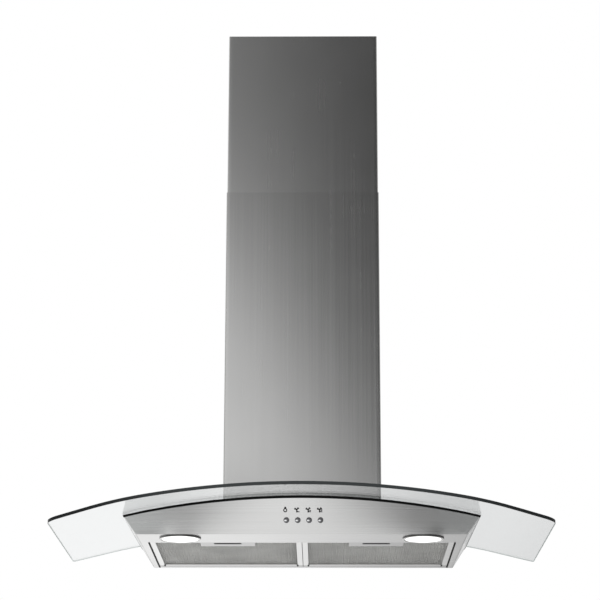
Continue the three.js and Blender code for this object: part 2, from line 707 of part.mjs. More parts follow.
function lampHolder(at) {
  const inside = LAMP_NECK_RADIUS - LAMP_NECK_WALL - GAP;
  const seat = LAMP_NECK_HEIGHT + GAP;
  const flangeTop = seat + SHEET;
  const profile = [
    [0, shelfHeight],
    [inside, shelfHeight],
    [inside, seat],
    [HOLDER_FLANGE_RADIUS, seat],
    [HOLDER_FLANGE_RADIUS, flangeTop],
    [HOLDER_CAN_RADIUS, flangeTop],
    [HOLDER_CAN_RADIUS, flangeTop + HOLDER_CAN_HEIGHT],
    [0, flangeTop + HOLDER_CAN_HEIGHT],
  ];
  return revolve(profile, 24, at, Z);
}

// ---- Grease filters --------------------------------------------------------------------------------

const filterOuter = FILTER_FIELD_WIDTH / 2 - FILTER_SIDE_GAP;
const filterInner = FILTER_EDGE_GAP;
const filterRear = FILTER_FIELD_REAR + FILTER_REAR_GAP;
const filterFront = FILTER_FIELD_FRONT - FILTER_EDGE_GAP;
const slotFront = filterFront - LATCH_SLOT_MARGIN;
const latchFloor = FILTER_SHEET + GAP;

/** A box on the right filter, or its mirror image on the left one. */
function filterBlock(side, [x0, x1], [reach0, reach1], height) {
  return block([side * x0, side * x1], [-reach0, -reach1], height);
}

/** Folded edge frame with a pocket for the mesh, the latch plate and the two rear tongues. */
function filterFrame(side) {
  const outer = filterBlock(side, [filterInner, filterOuter], [filterRear, filterFront], [0, FILTER_HEIGHT]);
  const pocket = filterBlock(
    side,
    [filterInner + FILTER_SHEET, filterOuter - FILTER_SHEET],
    [filterRear + FILTER_SHEET, filterFront - FILTER_SHEET],
    [FILTER_SHEET, FILTER_HEIGHT - FILTER_SHEET],
  );
  const windowSides = [filterInner + FILTER_SIDE_FLANGE, filterOuter - FILTER_SIDE_FLANGE];
  const window = (frontFlange, height) =>
    filterBlock(
      side,
      windowSides,
      [filterRear + FILTER_REAR_FLANGE, filterFront - frontFlange],
      height,
    );
  const below = window(FILTER_FRONT_FLANGE, [-PAST, FILTER_SHEET + 1]);
  const above = window(FILTER_SIDE_FLANGE, [FILTER_HEIGHT / 2, FILTER_HEIGHT + PAST]);
  const reliefs = windowSides.map((x) => {
    const corner = new THREE.Vector3(side * x, -filterRear - FILTER_REAR_FLANGE, 0);
    return rod(FILTER_RELIEF_RADIUS, -PAST, FILTER_SHEET + GAP, corner, Z, 12);
  });
  const plateHalf = LATCH_PLATE_WIDTH / 2;
  const plate = filterBlock(
    side,
    [LATCH_FROM_CENTRE - plateHalf, LATCH_FROM_CENTRE + plateHalf],
    [filterFront - LATCH_PLATE_REACH, filterFront],
    [0, FILTER_SHEET],
  );
  const tongues = [0.18, 0.82].map((share) => {
    const middle = filterInner + (filterOuter - filterInner) * share;
    const half = FILTER_TONGUE_WIDTH / 2;
    return filterBlock(
      side,
      [middle - half, middle + half],
      [filterRear - FILTER_REAR_GAP - FILTER_TONGUE_LAP, filterRear + FILTER_SHEET],
      [latchFloor, latchFloor + FILTER_SHEET],
    );
  });
  const slotHalf = LATCH_SLOT_WIDTH / 2;
  const slot = filterBlock(
    side,
    [LATCH_FROM_CENTRE - slotHalf, LATCH_FROM_CENTRE + slotHalf],
    [slotFront - LATCH_SLOT_DEPTH, slotFront],
    [-PAST, FILTER_SHEET + PAST],
  );
  const tongueHalf = LATCH_TONGUE_WIDTH / 2 + GAP;
  const tongueWay = filterBlock(
    side,
    [LATCH_FROM_CENTRE - tongueHalf, LATCH_FROM_CENTRE + tongueHalf],
    [filterFront - 2 * FILTER_SHEET, filterFront + PAST],
    [FILTER_SHEET, latchFloor + LATCH_SHEET + GAP],
  );
  return outer
    .subtract(Manifold.union([pocket, below, above, ...reliefs]))
    .add(Manifold.union([plate, ...tongues]))
    .subtract(slot.add(tongueWay));
}

/** Layered mesh, folded into fine ridges that run from front to rear. */
function filterMesh(side) {
  const start = filterInner + FILTER_SHEET + GAP;
  const end = filterOuter - FILTER_SHEET - GAP;
  const folds = Math.round((2 * (end - start)) / MESH_PITCH);
  const low = FILTER_SHEET + GAP;
  const rise = FILTER_HEIGHT - 2 * (FILTER_SHEET + GAP) - MESH_WEB;
  const ridge = [];
  for (let i = 0; i <= folds; i++) ridge.push([start + ((end - start) * i) / folds, low + (i % 2) * rise]);
  const outline = [...ridge, ...ridge.map(([x, z]) => [x, z + MESH_WEB]).reverse()];
  const pack = prismFromWall(
    outline.map(([x, z]) => [side * x, z]),
    filterRear + FILTER_SHEET + GAP,
    filterFront - FILTER_SHEET - GAP,
  );
  const half = LATCH_SLIDE_WIDTH / 2 + 1;
  const latchRoom = filterBlock(
    side,
    [LATCH_FROM_CENTRE - half, LATCH_FROM_CENTRE + half],
    [filterFront - LATCH_SLIDE_REACH - LATCH_TRAVEL - 3, filterFront],
    [0, FILTER_HEIGHT],
  );
  return pack.subtract(latchRoom);
}

/** Sliding latch: a plate over the slot, a grip for a finger and a tongue over the lamp strip. */
function filterLatch(side) {
  const front = filterFront - FILTER_SHEET - GAP;
  const half = LATCH_SLIDE_WIDTH / 2;
  const height = [latchFloor, latchFloor + LATCH_SHEET];
  const plate = filterBlock(
    side,
    [LATCH_FROM_CENTRE - half, LATCH_FROM_CENTRE + half],
    [front - LATCH_SLIDE_REACH, front],
    height,
  );
  const tongueHalf = LATCH_TONGUE_WIDTH / 2;
  const tongue = filterBlock(
    side,
    [LATCH_FROM_CENTRE - tongueHalf, LATCH_FROM_CENTRE + tongueHalf],
    [front - FILTER_SHEET, FILTER_FIELD_FRONT + LATCH_TONGUE_LAP],
    height,
  );
  const gripHalf = LATCH_GRIP_WIDTH / 2;
  const gripFront = slotFront - LATCH_GRIP_SETBACK;
  const grip = filterBlock(
    side,
    [LATCH_FROM_CENTRE - gripHalf, LATCH_FROM_CENTRE + gripHalf],
    [gripFront - LATCH_SHEET, gripFront],
    [GAP, latchFloor + LATCH_SHEET / 2],
  );
  return Manifold.union([plate, tongue, grip]);
}

// ---- Chimney ---------------------------------------------------------------------------------------

/** Three-sided cover, open at the back, with rounded bends. */
function chimneyCover({ width, reach, rear, bottom, top }) {
  const half = width / 2;
  const behind = 20; // the outlines run on behind the wall, where a block cuts them off
  const inside = half - CHIMNEY_SHEET;
  const outer = prismUp(roundedRectangle([-half, half], [-reach, behind], CHIMNEY_BEND), bottom, top);
  const inner = prismUp(
    roundedRectangle([-inside, inside], [CHIMNEY_SHEET - reach, behind], CHIMNEY_BEND - CHIMNEY_SHEET),
    bottom - PAST,
    top + PAST,
  );
  const back = block([-width, width], [-rear, 2 * behind], [bottom - PAST, top + PAST]);
  return outer.subtract(inner.add(back));
}

/** Lower cover: it stands on the glass and has inward lips at the wall. */
function lowerChimney() {
  const bottom = GLASS_UNDERSIDE / 2;
  const half = CHIMNEY_WIDTH / 2;
  const cover = chimneyCover({
    width: CHIMNEY_WIDTH,
    reach: CHIMNEY_REACH,
    rear: GAP,
    bottom,
    top: LOWER_CHIMNEY_TOP,
  });
  const lips = [-1, 1].map((side) =>
    block(
      [side * (half - CHIMNEY_SHEET / 2), side * (half - CHIMNEY_LIP)],
      [-GAP, -GAP - CHIMNEY_SHEET],
      [bottom, LOWER_CHIMNEY_TOP],
    ),
  );
  return Manifold.union([cover, ...lips]).subtract(belowArch(glassTop + GAP));
}

const upperWidth = CHIMNEY_WIDTH - 2 * (CHIMNEY_SHEET + CHIMNEY_SLIDE_GAP);
const upperInside = upperWidth / 2 - CHIMNEY_SHEET;
const bracketBottom = UPPER_CHIMNEY_TOP - BRACKET_BELOW_TOP;
const screwHeight = bracketBottom + BRACKET_HEIGHT / 2;

/** Where the two screws pass the cover's outer face, and the way out of it. */
function chimneyScrewPlaces() {
  return [-1, 1].map((side) => ({
    at: new THREE.Vector3((side * upperWidth) / 2, -CHIMNEY_SCREW_REACH, screwHeight),
    outward: new THREE.Vector3(side, 0, 0),
  }));
}

/** Holes along both chimney screws. */
function screwHoles(from, to) {
  const holes = chimneyScrewPlaces().map(({ at, outward }) =>
    rod(SCREW_RADIUS + SCREW_CLEARANCE, from, to, at, outward, 12),
  );
  return Manifold.union(holes);
}

function upperChimney() {
  const cover = chimneyCover({
    width: upperWidth,
    reach: CHIMNEY_REACH - CHIMNEY_SHEET - CHIMNEY_SLIDE_GAP,
    rear: UPPER_CHIMNEY_REAR,
    bottom: UPPER_CHIMNEY_TOP - UPPER_CHIMNEY_LENGTH,
    top: UPPER_CHIMNEY_TOP,
  });
  return cover.subtract(screwHoles(-PAST, PAST));
}

/** Wall bracket: a strip along the wall with an ear inside each side of the upper cover. */
function chimneyBracket() {
  const half = upperInside - GAP;
  const height = [bracketBottom, bracketBottom + BRACKET_HEIGHT];
  const strip = block([-half, half], [0, -BRACKET_SHEET], height);
  const ears = [-1, 1].map((side) =>
    block([side * half, side * (half - BRACKET_SHEET)], [0, -BRACKET_EAR], height),
  );
  return Manifold.union([strip, ...ears]).subtract(screwHoles(-2 * PAST, PAST));
}

function chimneyScrew({ at, outward }) {
  const profile = [
    [0, -SCREW_LENGTH],
    [SCREW_RADIUS, -SCREW_LENGTH],
    [SCREW_RADIUS, GAP],
    [SCREW_HEAD_RADIUS, GAP],
    [SCREW_HEAD_RADIUS, GAP + SCREW_HEAD_HEIGHT / 2],
    [SCREW_HEAD_RADIUS / 2, GAP + SCREW_HEAD_HEIGHT],
    [0, GAP + SCREW_HEAD_HEIGHT],
  ];
  return revolve(profile, 12, at, outward);
}

/** Wall hook: a plate on the wall, a ledge through the back wall's window and a lip behind it. */
function wallHook(side) {
  const ledge = HOOK_WINDOW_HIGH - GAP;
  const reach = HOOK_SHEET + HOOK_THROAT;
  const profile = [
    [0, HOOK_WINDOW_LOW + 2],
    [-HOOK_SHEET, HOOK_WINDOW_LOW + 2],
    [-HOOK_SHEET, ledge - HOOK_SHEET],
    [-reach, ledge - HOOK_SHEET],
    [-reach, ledge + HOOK_LIP],
    [HOOK_SHEET - reach, ledge + HOOK_LIP],
    [HOOK_SHEET - reach, ledge],
    [0, ledge],
  ];
  const middle = side * HOOK_FROM_CENTRE;
  return prismAcross(profile, middle - HOOK_WIDTH / 2, middle + HOOK_WIDTH / 2);
}

// ---- Blower ----------------------------------------------------------------------------------------

const scrollFront = SCROLL_REAR + SCROLL_DEPTH;

/** [x, z] outline of the spiral and its outlet, grown outward by a wall. */
function scrollOutline(wall, top) {
  const steps = 26;
  const points = [];
  for (let i = 0; i <= steps; i++) {
    const share = i / steps;
    const angle = THREE.MathUtils.degToRad(SCROLL_TONGUE_DEG + (360 - SCROLL_TONGUE_DEG) * share);
    const radius = SCROLL_START_RADIUS + (SCROLL_END_RADIUS - SCROLL_START_RADIUS) * share + wall;
    points.push([SCROLL_AXIS_X + radius * Math.cos(angle), SCROLL_AXIS_HEIGHT + radius * Math.sin(angle)]);
  }
  const right = SCROLL_AXIS_X + SCROLL_END_RADIUS + wall;
  return [...points, [right, top], [tongueX - wall, top], [tongueX - wall, points[0][1]]];
}

const tongueAngle = THREE.MathUtils.degToRad(SCROLL_TONGUE_DEG);
const tongueX = SCROLL_AXIS_X + SCROLL_START_RADIUS * Math.cos(tongueAngle) - SCROLL_WALL;

/** A point on the blower's axis at a distance from the wall. */
const onBlowerAxis = (reach) => new THREE.Vector3(SCROLL_AXIS_X, -reach, SCROLL_AXIS_HEIGHT);

/** Spiral casing: rear plate and wall, open toward the cover. */
function scrollCasing() {
  const outside = prismFromWall(scrollOutline(SCROLL_WALL, BLOWER_BOX_TOP), SCROLL_REAR, scrollFront);
  const inside = prismFromWall(
    scrollOutline(0, BLOWER_BOX_TOP + PAST),
    SCROLL_REAR + SCROLL_WALL,
    scrollFront + PAST,
  );
  const shaftWay = rod(IMPELLER_HUB_RADIUS, SCROLL_REAR - PAST, SCROLL_REAR + PAST, onBlowerAxis(0), FRONT);
  return outside.subtract(inside.add(shaftWay));
}

/** Cover with the rounded inlet. */
function scrollCover() {
  const from = scrollFront + GAP;
  const plate = prismFromWall(scrollOutline(SCROLL_WALL, BLOWER_BOX_TOP), from, from + SCROLL_WALL);
  const eye = rod(SCROLL_INLET_RADIUS, from - PAST, from + PAST, onBlowerAxis(0), FRONT, 32);
  const lip = [
    [SCROLL_INLET_RADIUS, from - INLET_LIP + 1],
    [SCROLL_INLET_RADIUS + SCROLL_WALL, from - INLET_LIP + 1],
    [SCROLL_INLET_RADIUS + SCROLL_WALL + 1, from + SCROLL_WALL / 2],
    [SCROLL_INLET_RADIUS + INLET_LIP, from + SCROLL_WALL],
    [SCROLL_INLET_RADIUS + 1, from + SCROLL_WALL / 2],
  ];
  return plate.subtract(eye).add(revolve(lip, 32, onBlowerAxis(0), FRONT));
}

const discRear = SCROLL_REAR + SCROLL_WALL + IMPELLER_SIDE_GAP;
const ringFront = scrollFront - IMPELLER_SIDE_GAP;

/** One forward-curved blade as a bent strip between the eye and the rim. */
function bladeOutline() {
  const middle = (IMPELLER_EYE_RADIUS + IMPELLER_RADIUS) / 2;
  const chord = IMPELLER_RADIUS - IMPELLER_EYE_RADIUS - 2 * BLADE_INSET;
  const halfAngle = THREE.MathUtils.radToDeg(Math.asin(chord / 2 / BLADE_CURVE_RADIUS));
  const sag = Math.sqrt(BLADE_CURVE_RADIUS ** 2 - (chord / 2) ** 2);
  const outer = arc(middle, sag, BLADE_CURVE_RADIUS, 270 - halfAngle, 270 + halfAngle, 2);
  const inner = arc(middle, sag, BLADE_CURVE_RADIUS - BLADE_THICKNESS, 270 + halfAngle, 270 - halfAngle, 2);
  return [...outer, ...inner];
}

/** Drum impeller: rear disc with its hub, curved blades and a front ring. */
function impeller() {
  const hubTop = discRear + IMPELLER_HUB_LENGTH;
  const bore = SHAFT_RADIUS + GAP;
  const disc = revolve(
    [
      [bore, discRear],
      [IMPELLER_RADIUS, discRear],
      [IMPELLER_RADIUS, discRear + IMPELLER_DISC],
      [IMPELLER_HUB_RADIUS, discRear + IMPELLER_DISC],
      [IMPELLER_HUB_RADIUS, hubTop],
      [bore, hubTop],
    ],
    36,
    onBlowerAxis(0),
    FRONT,
  );
  const ring = revolve(
    [
      [IMPELLER_EYE_RADIUS, ringFront - IMPELLER_RING],
      [IMPELLER_RADIUS, ringFront - IMPELLER_RING],
      [IMPELLER_RADIUS, ringFront],
      [IMPELLER_EYE_RADIUS, ringFront],
    ],
    36,
    onBlowerAxis(0),
    FRONT,
  );
  const blade = prismFromWall(bladeOutline(), discRear + IMPELLER_DISC / 2, ringFront - IMPELLER_RING / 2);
  const blades = [];
  for (let i = 0; i < IMPELLER_BLADES; i++) {
    const turned = blade.rotate([0, (360 * i) / IMPELLER_BLADES, 0]);
    blades.push(turned.translate(SCROLL_AXIS_X, 0, SCROLL_AXIS_HEIGHT));
  }
  return Manifold.union([disc, ring, ...blades]);
}

const motorFront = SCROLL_REAR - GAP;
const motorRear = BLOWER_BOX_REAR + SHEET + MOTOR_REAR_GAP;

/** Motor can with a shoulder at each end and the shaft's bore. */
function motor() {
  const shoulder = 7;
  const bore = SHAFT_RADIUS + GAP;
  const profile = [
    [0, motorRear],
    [MOTOR_SHOULDER_RADIUS, motorRear],
    [MOTOR_RADIUS, motorRear + shoulder],
    [MOTOR_RADIUS, motorFront - shoulder],
    [MOTOR_SHOULDER_RADIUS, motorFront],
    [bore, motorFront],
    [bore, motorFront - SHAFT_IN_MOTOR],
    [0, motorFront - SHAFT_IN_MOTOR],
  ];
  return revolve(profile, 32, onBlowerAxis(0), FRONT);
}

function motorShaft() {
  const end = discRear + IMPELLER_HUB_LENGTH + 6;
  return rod(SHAFT_RADIUS, motorFront - SHAFT_IN_MOTOR + GAP, end, onBlowerAxis(0), FRONT, 16);
}

/** Sheet box around the blower: it stands on the deck, open below, with the outlet in its top. */
function blowerBox() {
  const half = BLOWER_BOX_WIDTH / 2;
  const shell = (inset, low, high) =>
    block([inset - half, half - inset], [-BLOWER_BOX_REAR - inset, inset - BLOWER_BOX_REACH], [low, high]);
  const low = GLASS_UNDERSIDE / 2;
  const walls = shell(0, low, BLOWER_BOX_TOP).subtract(shell(SHEET, low - PAST, BLOWER_BOX_TOP - SHEET));
  const foot = archLayer(deckTop + GAP, deckTop + GAP + SHEET)
    .intersect(shell(0, low, BLOWER_BOX_TOP))
    .subtract(shell(SHEET + BLOWER_BOX_FLANGE, low - PAST, BLOWER_BOX_TOP - SHEET));
  const outlet = block(
    [tongueX - SCROLL_WALL - GAP, SCROLL_AXIS_X + SCROLL_END_RADIUS + SCROLL_WALL + GAP],
    [GAP - SCROLL_REAR, -scrollFront - 2 * GAP - SCROLL_WALL],
    [BLOWER_BOX_TOP - SHEET - PAST, BLOWER_BOX_TOP + PAST],
  );
  return walls.add(foot).subtract(outlet).subtract(belowArch(deckTop + GAP));
}

// ---- Outlet collar and its non-return flaps ---------------------------------------------------------

const collarBase = BLOWER_BOX_TOP + GAP;
const flapAxisHeight = collarBase + COLLAR_WALL + FLAP_HEIGHT;
const collarInside = DUCT_RADIUS - COLLAR_WALL;
const onCollarAxis = (height) => new THREE.Vector3(0, -COLLAR_REACH, height);

function outletCollar() {
  const halfWidth = COLLAR_FLANGE_WIDTH / 2;
  const halfDepth = COLLAR_FLANGE_DEPTH / 2;
  const flange = block(
    [-halfWidth, halfWidth],
    [halfDepth - COLLAR_REACH, -halfDepth - COLLAR_REACH],
    [collarBase, collarBase + COLLAR_WALL],
  );
  const top = collarBase + COLLAR_WALL + COLLAR_HEIGHT;
  const tube = rod(DUCT_RADIUS, collarBase, top, onCollarAxis(0), Z, 40);
  const bore = rod(collarInside, collarBase - PAST, top + PAST, onCollarAxis(0), Z, 40);
  const centre = onCollarAxis(flapAxisHeight);
  const bosses = [-1, 1].map((side) => {
    const outward = new THREE.Vector3(0, side, 0);
    const boss = rod(PIN_BOSS_RADIUS, collarInside - PIN_BOSS_LENGTH, collarInside + 1, centre, outward, 16);
    const seat = rod(FLAP_PIN_RADIUS + GAP, 0, collarInside - 1, centre, outward, 16);
    return boss.subtract(seat);
  });
  return Manifold.union([flange, tube]).subtract(bore).add(Manifold.union(bosses));
}

const flapRadius = collarInside - FLAP_EDGE_GAP;
const barrelRadius = FLAP_PIN_RADIUS + FLAP_PIN_CLEARANCE + FLAP_BARREL_WALL;
const middleBarrelHalf = flapRadius * FLAP_BARREL_SHARE;
const barrelEnd = collarInside - PIN_BOSS_LENGTH - FLAP_BARREL_GAP;

/** Half-round flap with its barrels on the pin: the right one in the middle, the left one outside it. */
function damperFlap(side) {
  const centre = onCollarAxis(flapAxisHeight);
  const sweep = side > 0 ? [-90, 90] : [90, 270];
  const disc = prismUp(
    arc(0, -COLLAR_REACH, flapRadius, ...sweep, 20),
    flapAxisHeight - FLAP_SHEET / 2,
    flapAxisHeight + FLAP_SHEET / 2,
  );
  const rootGap = barrelRadius + FLAP_BARREL_GAP;
  const bar = (from, to, radius) => rod(radius, from, to, centre, Y, 16);
  const spans =
    side > 0
      ? [[-middleBarrelHalf, middleBarrelHalf]]
      : [
          [-barrelEnd, -middleBarrelHalf - FLAP_BARREL_GAP],
          [middleBarrelHalf + FLAP_BARREL_GAP, barrelEnd],
        ];
  const outerFrom = middleBarrelHalf - FLAP_BARREL_GAP;
  const middleTo = middleBarrelHalf + FLAP_BARREL_GAP;
  const cleared =
    side > 0
      ? [[-flapRadius, -outerFrom], [outerFrom, flapRadius]]
      : [[-middleTo, middleTo]];
  const height = [flapAxisHeight - 1, flapAxisHeight + 1];
  const roots = cleared.map(([from, to]) =>
    block([-rootGap, rootGap], [from - COLLAR_REACH, to - COLLAR_REACH], height),
  );
  const bossGap = PIN_BOSS_RADIUS + FLAP_BARREL_GAP;
  const bossRoom = [-1, 1].map((end) =>
    block(
      [-bossGap, bossGap],
      [end * barrelEnd - COLLAR_REACH, end * (flapRadius + 1) - COLLAR_REACH],
      height,
    ),
  );
  const barrels = spans.map(([from, to]) => bar(from, to, barrelRadius));
  const bore = bar(-flapRadius, flapRadius, FLAP_PIN_RADIUS + FLAP_PIN_CLEARANCE);
  return disc
    .subtract(Manifold.union([...roots, ...bossRoom]))
    .add(Manifold.union(barrels))
    .subtract(bore);
}

function damperPin() {
  const half = collarInside - 1 - GAP;
  return rod(FLAP_PIN_RADIUS, -half, half, onCollarAxis(flapAxisHeight), Y, 16);
}

// ---- Electrics on the blower box --------------------------------------------------------------------

const boxFace = BLOWER_BOX_REACH + GAP; // distance from the wall to what is fixed on the box's front

function controlBox() {
  const half = CONTROL_BOX_WIDTH / 2;
  return prismFromWall(
    roundedRectangle([-half, half], [CONTROL_BOX_BOTTOM, CONTROL_BOX_BOTTOM + CONTROL_BOX_HEIGHT], 3),
    boxFace,
    boxFace + CONTROL_BOX_DEPTH,
  );
}

/** Capacitor with a saddle that holds it to the box. */
function capacitor() {
  const reach = boxFace + CAPACITOR_RADIUS;
  const at = new THREE.Vector3(CAPACITOR_FROM_CENTRE, -reach, CONTROL_BOX_BOTTOM);
  const can = rod(CAPACITOR_RADIUS, 0, CAPACITOR_LENGTH, at, Z, 24);
  const saddle = block(
    [CAPACITOR_FROM_CENTRE - CAPACITOR_RADIUS / 2, CAPACITOR_FROM_CENTRE + CAPACITOR_RADIUS / 2],
    [-boxFace, -reach],
    [CONTROL_BOX_BOTTOM + CAPACITOR_LENGTH * 0.3, CONTROL_BOX_BOTTOM + CAPACITOR_LENGTH * 0.7],
  );
  return can.add(saddle);
}

/** Gland on the control box, for the mains lead. */
function cableGland() {
  const base = CONTROL_BOX_BOTTOM + CONTROL_BOX_HEIGHT + GAP;
  const at = new THREE.Vector3(CONTROL_BOX_WIDTH / 4, -boxFace - CONTROL_BOX_DEPTH / 2, base);
  const nut = GLAND_LENGTH * 0.6;
  const profile = [
    [GLAND_BORE_RADIUS, 0],
    [GLAND_RADIUS + 1.5, 0],
    [GLAND_RADIUS + 1.5, GLAND_LENGTH - nut],
    [GLAND_RADIUS, GLAND_LENGTH - nut],
    [GLAND_RADIUS, GLAND_LENGTH - 3],
    [GLAND_BORE_RADIUS + 1.5, GLAND_LENGTH],
    [GLAND_BORE_RADIUS, GLAND_LENGTH],
  ];
  return revolve(profile, 16, at, Z);
}

// ---- Assembly --------------------------------------------------------------------------------------

const group = new THREE.Group();
group.position.z = -DATUM_HEIGHT;

/** Adds one piece under its own name, with its own material. */
function add(name, shape, look) {
  const mesh = new THREE.Mesh(geometryOf(shape), new THREE.MeshStandardMaterial(look));
  mesh.name = name;
  group.add(mesh);
}

const SIDES = [[-1, "left"], [1, "right"]];

add("glass_canopy", glassCanopy(), GLASS);
add("glass_gasket", glassGasket(), BLACK_RUBBER);
add("body_skirt", bodySkirt(), STEEL);
add("underside_frame", underFrame(), STEEL);
add("deck_and_back", deckAndBack(), GALVANISED);
boltPlaces().forEach((place, i) => add(`glass_bolt_${i + 1}`, glassBolt(place), CHROME));

for (const [side, name] of SIDES) {
  add(`filter_frame_${name}`, filterFrame(side), ALUMINIUM);
  add(`filter_mesh_${name}`, filterMesh(side), ALUMINIUM);
  add(`filter_latch_${name}`, filterLatch(side), BLACK_PLASTIC);
  add(`wall_hook_${name}`, wallHook(side), GALVANISED);
}

lampPlaces().forEach((at, i) => {
  const name = SIDES[i][1];
  add(`lamp_bezel_${name}`, lampBezel(at), CHROME);
  add(`lamp_lens_${name}`, lampLens(at), LENS);
  add(`lamp_holder_${name}`, lampHolder(at), GREY_PLASTIC);
});

const BUTTON_NAMES = ["light", "speed_low", "speed_medium", "speed_high"];
buttonPlaces().forEach((at, i) => add(`button_${BUTTON_NAMES[i]}`, pushButton(at), CHROME));
add("switch_block", switchBlock(), BLACK_PLASTIC);
add("control_box", controlBox(), BLACK_PLASTIC);
add("run_capacitor", capacitor(), GREY_PLASTIC);
add("cable_gland", cableGland(), BLACK_PLASTIC);

add("blower_box", blowerBox(), GALVANISED);
add("scroll_casing", scrollCasing(), BLACK_PLASTIC);
add("scroll_cover", scrollCover(), BLACK_PLASTIC);
add("impeller", impeller(), GREY_PLASTIC);
add("motor", motor(), DARK_STEEL);
add("motor_shaft", motorShaft(), DARK_STEEL);
add("outlet_collar", outletCollar(), BLACK_PLASTIC);
add("damper_flap_left", damperFlap(-1), BLACK_PLASTIC);
add("damper_flap_right", damperFlap(1), BLACK_PLASTIC);
add("damper_pin", damperPin(), DARK_STEEL);

add("lower_chimney", lowerChimney(), STEEL);
add("upper_chimney", upperChimney(), STEEL);
add("chimney_bracket", chimneyBracket(), GALVANISED);
chimneyScrewPlaces().forEach((place, i) => add(`chimney_screw_${SIDES[i][1]}`, chimneyScrew(place), CHROME));

export default group;
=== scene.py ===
"""Looks of the curved glass range hood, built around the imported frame.

Every sub-assembly is a class that holds its sizes in millimetres and builds its own meshes:
surfaces are numpy grids, written down by formula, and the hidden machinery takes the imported
solids' own faces. Heights in the classes are measured from the body's underside, as the part's
source measures them; row_frame() turns them into metres in the row frame.
"""

import logging  # noqa: E402
import math  # noqa: E402
from dataclasses import dataclass  # noqa: E402
from enum import Enum  # noqa: E402
from typing import Callable, Sequence  # noqa: E402

import bmesh  # noqa: E402
import bpy  # noqa: E402
import numpy as np  # noqa: E402
from mathutils import Matrix, Vector  # noqa: E402


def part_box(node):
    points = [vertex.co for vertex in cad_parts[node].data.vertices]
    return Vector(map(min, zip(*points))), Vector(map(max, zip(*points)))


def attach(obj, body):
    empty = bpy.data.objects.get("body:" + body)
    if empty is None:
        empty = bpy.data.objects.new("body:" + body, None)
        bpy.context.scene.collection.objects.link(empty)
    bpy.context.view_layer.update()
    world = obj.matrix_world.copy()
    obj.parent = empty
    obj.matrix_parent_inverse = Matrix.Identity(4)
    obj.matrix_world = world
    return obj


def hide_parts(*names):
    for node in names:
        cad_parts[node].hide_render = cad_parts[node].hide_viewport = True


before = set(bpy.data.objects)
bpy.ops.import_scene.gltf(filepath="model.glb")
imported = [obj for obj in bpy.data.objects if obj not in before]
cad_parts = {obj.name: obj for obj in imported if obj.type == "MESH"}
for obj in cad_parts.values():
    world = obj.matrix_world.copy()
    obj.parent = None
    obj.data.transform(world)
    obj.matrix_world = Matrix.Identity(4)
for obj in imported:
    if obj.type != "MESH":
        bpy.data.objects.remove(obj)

logging.basicConfig(level=logging.INFO, format="%(levelname)s %(message)s")
LOG = logging.getLogger("hood")

Array = np.ndarray
Colour = tuple[float, float, float]
BLACK: Colour = (0.0, 0.0, 0.0)
WHITE: Colour = (1.0, 1.0, 1.0)
MM = 0.001
DATUM = 30.0  # the row frame's origin above the body's underside
GAP = 0.3  # between pieces that touch
SHEET = 1.0  # steel of the body
SEAM_MERGE = 2e-6  # metres within which a surface's own seams join
NODE_MERGE = 1e-5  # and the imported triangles' corners
FLAT = 0.4  # degrees below which neighbouring triangles are one face
SIDES: tuple[tuple[int, str], ...] = ((-1, "left"), (1, "right"))


# ---- Numbers and places --------------------------------------------------------------


def row_frame(points: Array) -> Array:
    """Turns millimetres above the body's underside into metres in the row frame.

    Args:
        points: any array whose last axis is x, y, z.

    Returns:
        The same array in metres, lowered by the datum's height.
    """
    moved = np.array(points, float) * MM
    moved[..., 2] -= DATUM * MM
    return moved


def node_box(node: str) -> tuple[Array, Array]:
    """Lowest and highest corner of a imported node, in millimetres above the body's underside."""
    low, high = (np.array(corner, float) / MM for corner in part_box(node))
    lift = np.array([0.0, 0.0, DATUM])
    return low + lift, high + lift


def unit(vector: Sequence[float]) -> Array:
    """The vector at length 1."""
    made = np.array(vector, float)
    return made / np.linalg.norm(made)


def arc_points(
    centre: Sequence[float], radius: float, start: float, end: float, steps: int
) -> Array:
    """Points on a circular arc: centre plus radius times (cosine, sine) of evenly spaced angles.

    Args:
        centre: the arc's centre in its plane.
        radius: its radius.
        start: first angle in degrees.
        end: last angle in degrees.
        steps: number of spans.

    Returns:
        steps + 1 rows of two coordinates.
    """
    angle = np.radians(np.linspace(start, end, steps + 1))
    return np.stack([centre[0] + radius * np.cos(angle), centre[1] + radius * np.sin(angle)], -1)


def grid_quads(rows: int, columns: int) -> Array:
    """Corner indices of the quads between neighbouring points of a grid, row by row.

    Args:
        rows: the grid's rows.
        columns: its columns.

    Returns:
        Rows of four indices.
    """
    index = np.arange(rows * columns).reshape(rows, columns)
    quads = np.stack([index[:-1, :-1], index[:-1, 1:], index[1:, 1:], index[1:, :-1]], -1)
    return quads.reshape(-1, 4)


# ---- Meshes --------------------------------------------------------------------------


@dataclass(frozen=True)
class Berth:
    """Where a piece belongs: its body, its slot in the record and the nodes that it stands for."""

    body: str
    slot: str
    stands_for: tuple[str, ...] = ()


